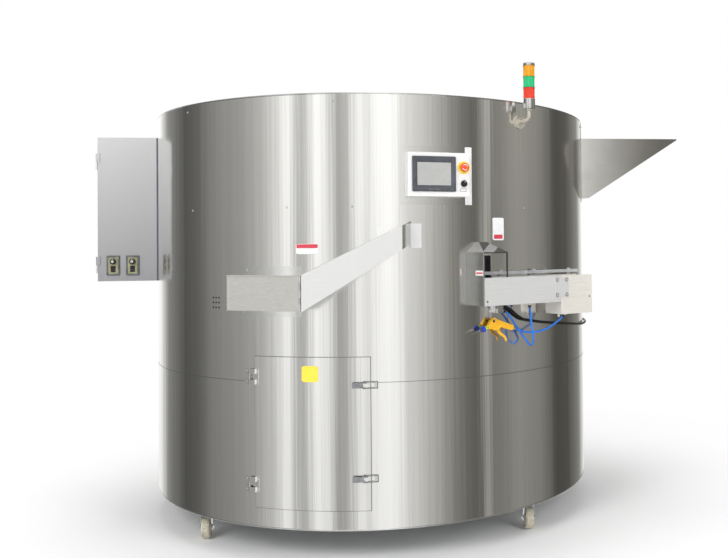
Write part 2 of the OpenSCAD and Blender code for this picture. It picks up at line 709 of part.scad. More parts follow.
// Side box with its hinged cover, and the inclined duct to its right
box_t = 2;
cover_t = 3;
box_depth = box_front - casing_r * 0.96;
module side_box() color("#c9cac9") {
  off_casing() facing(box_face) difference() {
    translate([box_left, -box_front + cover_t + eps, box_low]) cube([box_right - box_left, box_depth, box_h]);
    translate([box_left + box_t, -box_front, box_low + box_t])
      cube([box_right - box_left, box_depth + 100, box_h - 2 * box_t]);
    rotate([0, 0, duct_face - box_face]) translate([duct_l - eps, -2 * casing_r, 0])
      cube([casing_r, 2 * casing_r, casing_top]);
  }
  facing(box_face) translate([box_right, -box_front, box_low]) {
    translate([-14, cover_t + 2 * eps, 0]) cube([15, box_t, box_h]);
    translate([0, 0, -2]) cylinder(h = box_h + 4, r = cover_barrel_r / 2, $fn = low);
    for (k = [0:1]) translate([0, 0, box_h / 5 + k * box_h / 2.5]) {
      cylinder(h = box_h / 5 - eps, r = cover_barrel_r, $fn = low);
      translate([-1, 0, 0]) cube([2, cover_t + 1, box_h / 5 - eps]);
    }
  }
  difference() {
    band(box_face - 4.5, box_face + 10.6, casing_r + seat, casing_r + seat + 2, box_low - 30,
      box_low + box_h + 34);
    facing(box_face) translate([box_left + 1, -box_front, box_low + 1])
      cube([box_right - box_left - 2, box_front, box_h - 2]);
  }
  for (a = [-29.5, -23, -17.4]) on_casing(a, box_low + box_h + 18) translate([0, -seat - 1.4, 0]) screw();
  for (a = [-30.5, -23, -17.4]) on_casing(a, box_low - 14) translate([0, -seat - 1.4, 0]) screw();
}
cover_barrel_r = 3;
module side_box_cover() color("#d2d2cd") facing(box_face) {
  translate([box_left, -box_front, box_low]) cube([box_right - box_left - 4, cover_t, box_h]);
  translate([box_left, -box_front - 3, box_low + box_h - 4]) cube([box_right - box_left - 10, 4, 4]);
  translate([box_right, -box_front, box_low]) for (k = [0:2]) translate([0, 0, k * box_h / 2.5])
    difference() {
    union() {
      cylinder(h = box_h / 5 - eps, r = cover_barrel_r, $fn = low);
      translate([-6, 0, 0]) cube([6, 2, box_h / 5 - eps]);
    }
    translate([0, 0, -over]) cylinder(h = box_h, r = cover_barrel_r / 2 + play, $fn = low);
  }
}

// The duct's front runs from the side box's right edge up to its end plate
duct_out = 59.6;
duct_front = casing_r + duct_out;
duct_l = -390;
duct_r = 15;
duct_end = 58;
duct_t = 2;
duct_low = box_low - 2;
module duct_outline(inset) {
  rise = duct_rise;
  slope_low = rise / (duct_r - duct_l);
  top_l = box_low + box_h;
  top_r = duct_low + rise + duct_end_h;
  slope_top = (top_r - top_l) / (duct_r - duct_l);
  polygon([[duct_l, duct_low + inset], [duct_end, duct_low + inset + slope_low * (duct_end - duct_l)],
    [duct_end, top_l - inset + slope_top * (duct_end - duct_l)], [duct_l, top_l - inset]]);
}
module inclined_duct() color("#d4d5d4") {
  off_casing() facing(duct_face) difference() {
    translate([0, -casing_r * 0.93, 0]) rotate([90, 0, 0])
      linear_extrude(duct_front - casing_r * 0.93) duct_outline(0);
    translate([0, -casing_r * 0.9, 0]) rotate([90, 0, 0])
      linear_extrude(duct_front - duct_t - casing_r * 0.9) intersection() {
        duct_outline(duct_t);
        translate([duct_l - 10, 0]) square([duct_r - duct_l - duct_t + 10, casing_top]);
      }
    translate([duct_r, -duct_front - 1, 0]) rotate([0, 0, 54]) translate([0, -200, 0])
      cube([200, 200, casing_top]);
  }
  off_casing() facing(duct_face) translate([duct_r + 40, -casing_r - 6, box_low + duct_rise + 4])
    cube([46, 3, duct_end_h + 4]);
}

// Infeed hopper: two side plates, the sloping floor and the flange on the casing
module hopper_profile() {
  polygon([[casing_r * 0.96, hopper_low - 4], [casing_r + 12, hopper_low], [hopper_reach, hopper_top - 6],
    [hopper_reach, hopper_top], [casing_r * 0.96, hopper_top]]);
}
module hopper_hollow() {
  polygon([[casing_r * 0.9, hopper_low - 4 + hopper_t], [casing_r + 12, hopper_low + hopper_t + 1],
    [hopper_reach + over, hopper_top - 3], [hopper_reach + over, hopper_top + over],
    [casing_r * 0.9, hopper_top + over]]);
}
module infeed_hopper() color("#b4b6b6") {
  off_casing() difference() {
    translate([0, hopper_w / 2, 0]) rotate([90, 0, 0]) linear_extrude(hopper_w) hopper_profile();
    translate([0, hopper_w / 2 - hopper_t, 0]) rotate([90, 0, 0])
      linear_extrude(hopper_w - 2 * hopper_t) hopper_hollow();
  }
  difference() {
    band(73, 107, casing_r + seat, casing_r + seat + 2, hopper_low - 24, casing_top - 6);
    translate([0, -hopper_w / 2 + 6, hopper_low + 31]) cube([casing_r * 2, hopper_w - 12, casing_top]);
  }
  for (a = [75, 105], z = [hopper_low + 40, hopper_top - 40, casing_top - 24])
    on_casing(a, z) translate([0, -seat - 1.4, 0]) screw();
}

// Discharge conveyor, in a frame whose X runs along the belt
conveyor_in = conveyor_out - conveyor_w;
lane_out = conveyor_out - plate_t;
roller_z = deck_z - belt_turn_r;
plate_left = conveyor_left + hood_t + eps;
loop_s = 102;
loop_out = conveyor_out - conveyor_w / 2 - 1;
tail_s = conveyor_left + 18;
head_s = conveyor_right - 16;
roller_r = belt_turn_r - belt_t - eps;
belt_side_gap = 6;
lip_w = 5;
lip_t = 3;
module journal_holes() {
  for (s = [tail_s, head_s]) translate([s, 0, roller_z]) rotate([90, 0, 0])
    cylinder(h = 2 * conveyor_out, r = journal_r + play, $fn = low);
}
module conveyor_sides() color("#c8cac9") facing(conveyor_face) {
  difference() {
    union() {
      span([plate_left, -conveyor_out, plate_low], [conveyor_joint, -lane_out, plate_high]);
      span([plate_left, -conveyor_out, plate_high - 2], [conveyor_joint, -lane_out + lip_w, plate_high]);
      span([plate_left, -conveyor_out, plate_low - lip_t], [conveyor_joint, -lane_out + lip_w, plate_low]);
    }
    journal_holes();
  }
  difference() {
    union() {
      span([plate_left, -conveyor_in - plate_t, plate_low - lip_t],
        [portal_right - eps, -conveyor_in, deck_z]);
      span([portal_right, -conveyor_in - plate_t, plate_low - lip_t],
        [conveyor_joint, -conveyor_in, plate_high]);
    }
    journal_holes();
  }
  translate([conveyor_joint, -conveyor_out - eps, (plate_low + plate_high) / 2 + 4]) {
    translate([-34, -2, -44]) cube([76, 2, 88]);
    for (x = [-24, 32], z = [-33, 33]) translate([x, -2, z]) screw();
  }
  for (s = [-100, 80, 200]) translate([s, -conveyor_in - plate_t - joint_gap, plate_low + 10])
    rotate([90, 0, 0])
    cylinder(h = conveyor_w - 2 * plate_t - 2 * joint_gap, r = 4, $fn = low);
  span([loop_s - 10, -lane_out + lip_w + joint_gap, plate_low - lip_t],
    [loop_s + 10, -conveyor_in - plate_t - joint_gap, plate_low]);
  translate([loop_s, -loop_out, plate_low - 14]) cylinder(h = 12, r = 7, $fn = low);
}
elbow_s = 321;
elbow_out = conveyor_out - conveyor_w / 2 - 7;
elbow_tilt = 130;
module end_block() color("#cdc9bd") facing(conveyor_face) {
  difference() {
    span([conveyor_joint + eps, -conveyor_out, block_low], [conveyor_right, -conveyor_in, plate_high]);
    span([conveyor_joint + eps + plate_t, -lane_out, block_low + plate_t],
      [conveyor_right - plate_t, -conveyor_in - plate_t, plate_high + over]);
    span([conveyor_joint - over, -lane_out, plate_low - 2],
      [conveyor_right + over, -conveyor_in - plate_t, plate_high + over]);
    journal_holes();
  }
  translate([elbow_s, -elbow_out, block_low - 7]) cylinder(h = 9, r = 8, $fn = low);
  translate([elbow_s, -elbow_out, block_low + 2]) rotate([0, -elbow_tilt, 0])
    cylinder(h = 18, r = 6, $fn = low);
  translate([conveyor_joint + 20, -conveyor_out + 40, block_low - 14]) cylinder(h = 15, r = 5, $fn = low);
  translate([conveyor_joint + 90, -lane_out, block_low + plate_t + 25]) rotate([-90, 0, 0])
    cylinder(h = conveyor_w - 2 * plate_t, r = 24, $fn = mid);
}
module belt_bed() color("#b8babb") facing(conveyor_face) {
  span([tail_s + belt_turn_r + 2, -lane_out + belt_side_gap, deck_z - belt_t - 6 - eps],
    [head_s - belt_turn_r - 2, -conveyor_in - plate_t - belt_side_gap, deck_z - belt_t - eps]);
  for (s = [-130, 50, 230, 360]) {
    span([s, -lane_out + eps, deck_z - belt_t - 12],
      [s + 20, -conveyor_in - plate_t - eps, deck_z - belt_t - 6 - eps]);
  }
}
module belt_section(r) {
  for (s = [tail_s, head_s]) translate([s, roller_z]) circle(r = r, $fn = mid);
  translate([tail_s, roller_z - r]) square([head_s - tail_s, 2 * r]);
}
module conveyor_belt() color("#3d4144") facing(conveyor_face)
  translate([0, -conveyor_in - plate_t - belt_side_gap, 0]) rotate([90, 0, 0])
    linear_extrude(conveyor_w - 2 * plate_t - 2 * belt_side_gap) difference() {
      belt_section(belt_turn_r);
      belt_section(belt_turn_r - belt_t);
    }
module roller(s) color("#b9bdc0") facing(conveyor_face)
  translate([s, -conveyor_in - plate_t - belt_side_gap, roller_z]) rotate([90, 0, 0]) {
    cylinder(h = conveyor_w - 2 * plate_t - 2 * belt_side_gap, r = roller_r, $fn = mid);
    translate([0, 0, -belt_side_gap - plate_t + 0.5]) cylinder(h = conveyor_w - 1, r = journal_r, $fn = low);
  }
rail_z = 1186;
module guide_rail() color("#dfe1e0") facing(conveyor_face) {
  span([conveyor_left + 4, -conveyor_in - 16, rail_z - 7], [conveyor_right, -conveyor_in - 10, rail_z + 7]);
  for (s = [-20, 170, 380]) {
    span([s, -conveyor_in - 10 + joint_gap, rail_z - 4], [s + 8, -conveyor_in + 3, rail_z + 4]);
    span([s - 6, -conveyor_in + eps, plate_high - 26], [s + 14, -conveyor_in + 3, rail_z + 12]);
  }
}

// Hood over the portal: end wall, floor, hipped roof and a corner post
module hood_roof(inset) {
  hull() {
    translate([conveyor_left + inset, -conveyor_out + inset, hood_eaves - over])
      cube([hood_right - conveyor_left - 2 * inset, conveyor_out - casing_r * 0.97, over]);
    translate([portal_left + 34 + inset, -casing_r - 22 + inset, hood_top - 1 - inset])
      cube([hood_right - portal_left - 80 - 2 * inset, 60, 1]);
  }
}
module discharge_hood() color("#aeb0b0") {
  off_casing() facing(conveyor_face) {
    difference() {
      hood_roof(0);
      translate([0, 0, -hood_t]) hood_roof(hood_t);
      translate([0, 0, -over - hood_t]) hood_roof(hood_t);
    }
    span([conveyor_left, -conveyor_out, plate_low - 3],
      [conveyor_left + hood_t, -casing_r * 0.97, hood_eaves]);
    span([hood_right - 5, -conveyor_out, plate_high + eps], [hood_right, -conveyor_out + 5, hood_eaves]);
    span([portal_left + 1, -conveyor_in + eps, deck_z - 20],
      [portal_right - 1, -casing_r * 0.97, deck_z - 0.5]);
  }
  facing(conveyor_face) difference() {
    span([portal_left + 1, -conveyor_in + eps, deck_z - 4], [portal_right - 1, -wall_r * 0.9, deck_z - 0.5]);
    cylinder(h = casing_top, r = wall_r + rim_t + seat, $fn = fine);
  }
}

// Fittings on the casing below the conveyor: air block, cable glands, and the wire hook of the air gun
block_at = 27.9;
block_z = 1030;
hook_r = 1.8;
gland_at = 97;
gland_z = 905;
module air_fittings() color("#d8dadb") {
  off_casing() {
    on_casing(block_at, block_z) {
      translate([-14, -34, -16]) cube([28, 40, 30]);
      translate([10, -12, 6]) rotate([0, 90, 0]) cylinder(h = 16, r = 8, $fn = low);
      translate([10, -22, 0]) rotate([0, 120, 0]) cylinder(h = 16, r = 6, $fn = low);
    }
    on_casing(gland_at, gland_z) {
      translate([-8, -28, -14]) cube([34, 34, 28]);
      translate([-24, -14, 0]) rotate([0, 90, 0]) cylinder(h = 20, r = 9, $fn = low);
    }
  }
  off_casing() on_casing(gun_at, gun_z) {
    translate([0, 0, hook_top]) rotate([90, 0, 0]) translate([0, 0, -2]) {
      cylinder(h = hook_back + 2 + hook_r, r = hook_r, $fn = low);
      cylinder(h = 5, r = 9, $fn = low);
    }
    translate([0, -hook_back, hook_low - hook_r])
      cylinder(h = hook_top - hook_low + 2 * hook_r, r = hook_r, $fn = low);
    translate([0, -hook_back, hook_low]) rotate([90, 0, 0]) cylinder(h = gun_t + 12, r = hook_r, $fn = low);
    translate([0, -hook_back - gun_t - 12, hook_low - hook_r]) cylinder(h = 12, r = hook_r, $fn = low);
  }
}
hook_low = 6.6;
hook_top = 58;
hook_back = gun_out - gun_t / 2 - 3;

// Air gun: head with a hanging eye, handle, collar and nozzle; and its trigger
gun_body_slope = -19;
nozzle_slope = 17;
module at_gun() {
  on_casing(gun_at, gun_z) translate([0, -gun_out, 0]) rotate([90, 0, 0]) children();
}
module gun_body() color("#f2b01c") at_gun() {
  difference() {
    translate([0, 0, -gun_t / 2]) linear_extrude(gun_t)
      polygon([[-26, -14], [-8, 14], [4, 18], [16, 12], [100, -18], [104, -24], [99, -39], [92, -41],
        [38, -24],
        [28, -34], [14, -38], [-4, -30], [-22, -30]]);
    translate([0, 4, -gun_t]) cylinder(h = 2 * gun_t, r = 4.5, $fn = low);
    translate([14, -40, -4]) cube([30, 22, 8]);
  }
  translate([trigger_pin[0], trigger_pin[1], 1 - gun_t / 2])
    cylinder(h = gun_t - 2, r = trigger_pin_r, $fn = low);
  translate([-24, -21, 0]) rotate([0, 0, 180 + nozzle_slope]) rotate([0, 90, 0]) {
    cylinder(h = 22, r = 8, $fn = mid);
    translate([0, 0, 20]) cylinder(h = 12, r = 12, $fn = mid);
    translate([0, 0, 30]) cylinder(h = 12, r = 7, $fn = mid);
    translate([0, 0, 40]) cylinder(h = 44, r = 1.5, $fn = low);
  }
  translate([99, -29, 0]) rotate([0, 0, gun_body_slope]) rotate([0, 90, 0])
    cylinder(h = 12, r = 6, $fn = low);
}
trigger_t = 7;
trigger_pin = [24, -31];
trigger_pin_r = 1.5;
module gun_trigger() color("#f2b01c") at_gun() translate([0, 0, -trigger_t / 2]) linear_extrude(trigger_t)
  difference() {
    polygon([[20, -26], [29, -26], [36, -42], [50, -54], [66, -68], [72, -86], [64, -89], [57, -74],
      [42, -62],
      [26, -49], [18, -38]]);
    translate(trigger_pin) circle(r = trigger_pin_r + play, $fn = low);
  }

// A tube with flat ends, swept along a route of points that a curve joins
function curve(p, n) = [for (i = [0:len(p) - 2], k = [0:n - 1])
  let (t = k / n, a = p[max(i - 1, 0)], b = p[i], c = p[i + 1], d = p[min(i + 2, len(p) - 1)])
  0.5 * (2 * b + (c - a) * t + (2 * a - 5 * b + 4 * c - d) * t * t + (3 * b - 3 * c + d - a) * t * t * t)];
function unit(v) = v / norm(v);
function heading(q, i) = unit(q[min(i + 1, len(q) - 1)] - q[max(i - 1, 0)]);
module swept(p, r, n, sides = 8) {
  q = concat(curve(p, n), [p[len(p) - 1]]);
  rings = [for (i = [0:len(q) - 1]) let (h = heading(q, i), s = unit(cross(h, [0.13, 0.21, 0.97])),
    u = cross(s, h))
    for (k = [0:sides - 1]) q[i] + r * (cos(k * 360 / sides) * s + sin(k * 360 / sides) * u)];
  last = len(q) - 1;
  faces = concat([[for (k = [0:sides - 1]) sides - 1 - k]], [[for (k = [0:sides - 1]) last * sides + k]],
    [for (i = [0:last - 1], k = [0:sides - 1]) let (k2 = (k + 1) % sides)
      [i * sides + k, (i + 1) * sides + k2, (i + 1) * sides + k]],
    [for (i = [0:last - 1], k = [0:sides - 1]) let (k2 = (k + 1) % sides)
      [i * sides + k, i * sides + k2, (i + 1) * sides + k2]]);
  polyhedron([for (v = rings) v], [for (f = faces) [for (k = [len(f) - 1:-1:0]) f[k]]]);
}

// Routes of the two air hoses and the cable, chosen by hand
hose_r = 4.5;
cable_r = 6;
hose_loop_route = [[546.1, -980.4, 1022], [555.3, -975.5, 1016], [566, -970, 1009], [585, -957, 985],
  [601, -945, 959], [622, -932, 933], [641, -918.5, 904], [655, -917, 885], [666, -932, 869],
    [673, -955, 868],
  [676, -976, 882], [675, -987, 903], [672, -989, 928], [668, -984, 958], [666.5, -971, 990],
    [666.3, -957, 1016],
  [666.3, -950.6, 1031], [666.3, -950.1, 1041.6]];
hose_gun_route = [[841, -842.3, 987.4], [833, -846.9, 979.7], [825, -851.5, 972], [812, -857, 962.5],
  [787, -866, 946], [762, -882, 935], [736, -897, 927], [710, -911, 922.5], [685.5, -923.4, 921],
  [660, -935, 922], [640, -943.5, 926.5], [622.5, -951.4, 933], [607.2, -958.9, 938.9],
    [593.6, -965.5, 944.1]];
power_route = [[543.8, -970.3, 1036], [555.7, -964, 1036], [570, -956, 1031], [590, -944, 1017],
  [612, -930, 998], [640, -911, 980], [672, -887, 971], [715, -852, 962], [763.5, -808.5, 953],
  [826, -744, 943], [887, -670.5, 934], [952, -575, 922], [1010.7, -463.7, 911], [1056, -350, 907],
  [1086, -240, 905], [1104, -130, 904], [1112, -20, 904], [1113.5, 50, 905], [1110.6, 96, 905],
  [1108.7, 111, 905]];
module hose_loop() color("#1f74e0") swept(hose_loop_route, hose_r, 2);
module hose_gun() color("#1f74e0") swept(hose_gun_route, hose_r, 2);
module power_cable() color("#1d1f21") swept(power_route, cable_r, 2);

// Door fittings on the casing: fixed hinge leaves with their pins, and the latch keepers
leaf_w = 26;
leaf_h = 64;
leaf_t = 2;
knuckle_r = 4.5;
hinge_out = 8;
knuckle_h = 24;
hinge_pin_r = 2;
keeper_s = 40.5;
module door_fittings() color("#c4c7c9") {
  for (z = hinge_z) on_casing(hinge_at, z) {
    translate([-leaf_w - 2, -seat - leaf_t, -leaf_h / 2]) cube([leaf_w, leaf_t, leaf_h]);
    translate([-6, -hinge_out + 2, -knuckle_h / 2]) cube([5, hinge_out - 2 - seat, knuckle_h]);
    translate([0, -hinge_out, -knuckle_h / 2]) cylinder(h = knuckle_h, r = knuckle_r, $fn = low);
    translate([0, -hinge_out, -leaf_h / 2 - 1]) cylinder(h = leaf_h + 2, r = hinge_pin_r, $fn = low);
    for (x = [-20, -10], s = [-1, 1]) translate([x, -seat - leaf_t, s * 22]) screw(3);
  }
  for (z = latch_z) on_casing(latch_at, z) {
    translate([keeper_s - 8, -seat - 2.2, -12]) cube([16, 2.2, 24]);
    translate([keeper_s - 2.5, -seat - 7, -8]) cube([5, 7, 16]);
  }
}

// Access door: curved skin with a stiffening rim behind it, hinge leaves and latch bases
rim_depth = 12;
door_in = casing_r + seat + 0.1;
door_out = door_in + door_t;
latch_pivot = 12;
base_w = 8;
lever_pin_r = 2;
function deg(len) = len / casing_r * 57.3;
module access_door() color("#bfc1c1") {
  difference() {
    union() {
      band(door_left, door_right, door_in, door_out, door_low, door_high);
      difference() {
        band(door_open_left + deg(3), door_open_right - deg(3), casing_r - rim_depth, door_in + 0.2,
          door_low + door_lap + 3, door_high - door_lap - 3);
        band(door_open_left + deg(7), door_open_right - deg(7), casing_r - rim_depth - over, door_in + over,
          door_low + door_lap + 7, door_high - door_lap - 7);
      }
    }
    band(door_left - 1, door_right + 1, door_out - 0.8, door_out + over, seam_z - 1, seam_z + 1);
  }
  for (z = hinge_z) on_casing(hinge_at, z) difference() {
    union() {
      translate([21, -hinge_out + 3, -leaf_h / 2]) cube([leaf_w - 6, hinge_out - 3 - door_t, leaf_h]);
      for (s = [-1, 1]) translate([0, -hinge_out, s * (leaf_h + knuckle_h) / 4]) {
        translate([0, 0, -(leaf_h - knuckle_h) / 4 + eps / 2])
          cylinder(h = (leaf_h - knuckle_h) / 2 - eps, r = knuckle_r, $fn = low);
        translate([0, -knuckle_r, -(leaf_h - knuckle_h) / 4 + eps / 2])
          cube([26, 3.5, (leaf_h - knuckle_h) / 2 - eps]);
        translate([21, -knuckle_r, -(leaf_h - knuckle_h) / 4 + eps / 2])
          cube([8, 8, (leaf_h - knuckle_h) / 2 - eps]);
      }
      for (x = [27, 36], s = [-1, 1]) translate([x, -hinge_out + 3, s * 22]) screw(3);
    }
    translate([0, -hinge_out, -leaf_h]) cylinder(h = 2 * leaf_h, r = hinge_pin_r + play, $fn = low);
  }
  for (z = latch_z) on_casing(latch_at, z) {
    translate([-12, -8, -base_w]) cube([20, 8 - door_t, 2 * base_w]);
    translate([-5, -latch_pivot - 4, -base_w]) cube([9, latch_pivot - 1, 2 * base_w]);
    translate([0, -latch_pivot, -base_w - 3]) cylinder(h = 2 * base_w + 6, r = lever_pin_r, $fn = low);
  }
}

// Toggle latches: the lever turns on the door, and the bail turns on the lever and hooks behind the keeper
bail_arm = 12;
bail_rise = 2;
bail_r = 1.75;
lever_len = 58;
lug_t = 2.6;
lug_z = base_w + eps;
bail_out = base_w + lug_t + 2 * eps + bail_r;
module latch_lever(i) color("#5d6164") on_casing(latch_at, latch_z[i]) difference() {
  union() {
    for (s = [0, 1]) mirror([0, 0, s]) translate([0, 0, lug_z]) linear_extrude(lug_t)
      polygon([[4, -latch_pivot - 4], [4, -latch_pivot + 4], [-bail_arm - 6, -latch_pivot + 3],
        [-bail_arm - 6, -latch_pivot - 6]]);
    translate([-lever_len, -latch_pivot - 6, -lug_z - lug_t])
      cube([lever_len - bail_arm - 3, 5, 2 * (lug_z + lug_t)]);
  }
  translate([0, -latch_pivot, -3 * base_w]) cylinder(h = 6 * base_w, r = lever_pin_r + play, $fn = low);
  translate([-bail_arm, -latch_pivot - bail_rise, -3 * base_w])
    cylinder(h = 6 * base_w, r = bail_r + play, $fn = low);
  for (k = [0:7]) translate([-lever_len + 3 + 4 * k, -latch_pivot - 7, -20]) cube([1.6, 1.8, 40]);
}
bail_end = [keeper_s + 2.5 + 1.8 + bail_r, -4.4];
module latch_bail(i) color("#cdd0d2") on_casing(latch_at, latch_z[i]) {
  start = [-bail_arm, -latch_pivot - bail_rise];
  run = bail_end - start;
  for (s = [-1, 1]) {
    translate([start[0], start[1], s * (bail_out + base_w) / 2 + s * 1.2])
      cylinder(h = bail_out - base_w + 1.5, r = bail_r, center = true, $fn = low);
    translate([start[0], start[1], s * bail_out]) rotate([0, 0, atan2(run[1], run[0])]) rotate([0, 90, 0])
      translate([0, 0, -bail_r]) cylinder(h = norm(run) + 2 * bail_r, r = bail_r * 0.96, $fn = low);
  }
  translate([bail_end[0], bail_end[1], -bail_out - bail_r])
    cylinder(h = 2 * (bail_out + bail_r), r = bail_r, $fn = low);
}

base_frame();
casing_frame();
casing_lower();
casing_upper();
casing_screws();
column();
main_bearings();
deck();
gear_motor();
side_box();
side_box_cover();
inclined_duct();
cabinet_housing();
cabinet_door();
speed_knob(controller_x[0]);  // speed_knob_left
speed_knob(controller_x[1]);  // speed_knob_right
rocker(controller_x[0]);  // rocker_left
rocker(controller_x[1]);  // rocker_right
operator_box();
touch_screen();
stop_button();
selector_knob();
tower_stem();
lens_red();
lens_green();
lens_amber();
infeed_hopper();
discharge_hood();
conveyor_sides();
end_block();
belt_bed();
conveyor_belt();
roller(tail_s);  // tail_roller
roller(head_s);  // head_roller
guide_rail();
air_fittings();
gun_body();
gun_trigger();
hose_loop();
hose_gun();
power_cable();
door_fittings();
access_door();
latch_lever(0);  // latch_lever_low
latch_lever(1);  // latch_lever_high
latch_bail(0);  // latch_bail_low
latch_bail(1);  // latch_bail_high
main_shaft();
rotor_drum();
rotor_chutes();
ring_gear();
pinion();
fork(0);  // fork_1
fork(1);  // fork_2
fork(2);  // fork_3
fork(3);  // fork_4
wheel(0);  // wheel_1
wheel(1);  // wheel_2
wheel(2);  // wheel_3
wheel(3);  // wheel_4
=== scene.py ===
import math

import bmesh
import bpy
from mathutils import Matrix, Vector


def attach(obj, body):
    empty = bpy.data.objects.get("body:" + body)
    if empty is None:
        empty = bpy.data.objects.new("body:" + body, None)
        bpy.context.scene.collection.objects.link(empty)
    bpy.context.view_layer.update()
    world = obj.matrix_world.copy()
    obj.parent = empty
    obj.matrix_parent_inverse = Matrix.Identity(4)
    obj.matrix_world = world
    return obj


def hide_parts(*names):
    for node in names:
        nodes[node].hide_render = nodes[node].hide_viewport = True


# Looks of the bottle unscrambler. Lengths are metres and angles degrees. Turns round the casing's axis are
# counted from the front (-Y) towards the right (+X).

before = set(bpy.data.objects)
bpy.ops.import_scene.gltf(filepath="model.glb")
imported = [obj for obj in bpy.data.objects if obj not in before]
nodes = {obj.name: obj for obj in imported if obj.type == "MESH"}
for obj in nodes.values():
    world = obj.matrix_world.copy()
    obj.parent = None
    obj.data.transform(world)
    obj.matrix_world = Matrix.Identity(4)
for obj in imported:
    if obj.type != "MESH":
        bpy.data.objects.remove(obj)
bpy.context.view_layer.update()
scene = bpy.context.scene

MM = 0.001
WORLD = Matrix.Identity(4)

R = 1.1                   # outer radius of the casing
CASING_FOOT, SEAM, CASING_TOP = 0.14, 0.745, 1.94
SKIN = 0.0001             # gap under a thin piece that lies on a surface
EDGE_BEVEL = 0.0003       # the usual bevel of thin plates

DOOR_TURN, DOOR_HALF = -14.4, 13.0      # middle of the access door, half of its width
DOOR_LOW, DOOR_HIGH = 0.222, 0.850
PANEL_TURN, PANEL_FRONT = 13.1, 1.150   # where the operator panel looks, its face from the casing's axis
CONVEYOR_TURN, CONVEYOR_FRONT = 30, 1.21    # the same of the conveyor's side
CONVEYOR_LEFT, CONVEYOR_JOINT = -0.188, 0.24    # its left end, with the hood's wall, and its splice
DUCT_END_TURN = 58.5      # the duct's cut end looks about that way
GUN_TURN, GUN_Z, GUN_OUT = 26, 0.977, 0.028
TOWER_TURN, TOWER_OUT = 35.4, 0.062
CABINET_FRONT = -0.250    # the cabinet door's face, along Y
CABINET_LOW, CABINET_HEIGHT, CABINET_RIGHT = 1.145, 0.707, -1.074

PHOTO_WIDTH = 728         # the photograph's frame, in pixels
PHOTO_MIDDLE = (364, 279)
AXIS_PIXEL = (480, 233.87)    # where the view axis meets it
FOCAL_PIXELS = 866.83
SENSOR = 36
CAMERA_TURNS = (6.844, 0.714, -0.502)    # yaw, pitch, roll
CAMERA_PLACE = (0, -4.7011, 1.3086)


# ---------------------------------------------------------------- camera

def set_camera():
    """The photograph's camera. Its axis is off the middle of the frame."""
    yaw, pitch, roll = (math.radians(a) for a in CAMERA_TURNS)
    level = Vector((math.sin(yaw), math.cos(yaw), 0))
    ahead = level * math.cos(pitch) + Vector((0, 0, math.sin(pitch)))
    right = Vector((math.cos(yaw), -math.sin(yaw), 0))
    up = right.cross(ahead)
    side = math.cos(roll) * right + math.sin(roll) * up
    top = -math.sin(roll) * right + math.cos(roll) * up
    data = bpy.data.cameras.new("camera")
    data.sensor_width = SENSOR
    data.lens = FOCAL_PIXELS * SENSOR / PHOTO_WIDTH
    data.shift_x = (PHOTO_MIDDLE[0] - AXIS_PIXEL[0]) / PHOTO_WIDTH
    data.shift_y = (AXIS_PIXEL[1] - PHOTO_MIDDLE[1]) / PHOTO_WIDTH
    data.clip_start, data.clip_end = 0.05, 200
    camera = bpy.data.objects.new("camera", data)
    turn = Matrix((side, top, -ahead)).transposed().to_4x4()
    camera.matrix_world = Matrix.Translation(CAMERA_PLACE) @ turn
    scene.collection.objects.link(camera)
    scene.camera = camera


set_camera()


# ---------------------------------------------------------------- materials

class Nodes:
    """Short calls for the nodes of a tree. A source is an output of another node."""

    def __init__(self, tree):
        self.tree = tree

    def put(self, socket, value):
        """Link a socket to a source or give it a value. Three numbers on a colour socket make it opaque."""
        if isinstance(value, bpy.types.NodeSocket):
            self.tree.links.new(value, socket)
        elif isinstance(value, tuple) and len(value) < len(socket.default_value):
            socket.default_value = (*value, 1)
        else:
            socket.default_value = value

    def node(self, kind, inputs=None, **settings):
        """A new node with its settings, and values or sources for its inputs by name or number."""
        n = self.tree.nodes.new(kind)
        for key, value in settings.items():
            setattr(n, key, value)
        for key, value in (inputs or {}).items():
            self.put(n.inputs[key], value)
        return n

    def ramp(self, source, stops):
        """Colours or greys at places along a value."""
        n = self.node("ShaderNodeValToRGB", {"Fac": source})
        e = n.color_ramp.elements
        while len(e) < len(stops):
            e.new(0.5)
        for i, (at, c) in enumerate(stops):
            e[i].position = at
            e[i].color = (c, c, c, 1) if isinstance(c, (int, float)) else (*c, 1)
        return n.outputs["Color"]

    def map_range(self, source, lo, hi, to_lo, to_hi):
        return self.node("ShaderNodeMapRange", {0: source, 1: lo, 2: hi, 3: to_lo, 4: to_hi}).outputs[0]

    def mix(self, fac, a, b, mode="MIX"):
        return self.node("ShaderNodeMix", {0: fac, 6: a, 7: b}, data_type="RGBA", blend_type=mode).outputs[2]

    def mix_shaders(self, fac, a, b):
        return self.node("ShaderNodeMixShader", {0: fac, 1: a, 2: b}).outputs[0]

    def maths(self, operation, a, b):
        return self.node("ShaderNodeMath", {0: a, 1: b}, operation=operation).outputs[0]

    def vector(self, operation, *operands):
        """Arithmetic on vectors. A dot product or a length comes out as one value."""
        n = self.node("ShaderNodeVectorMath", dict(enumerate(operands)), operation=operation)
        return n.outputs["Value" if operation in ("DOT_PRODUCT", "LENGTH") else "Vector"]

    def axis(self, source, letter):
        return self.node("ShaderNodeSeparateXYZ", {0: source}).outputs[letter]


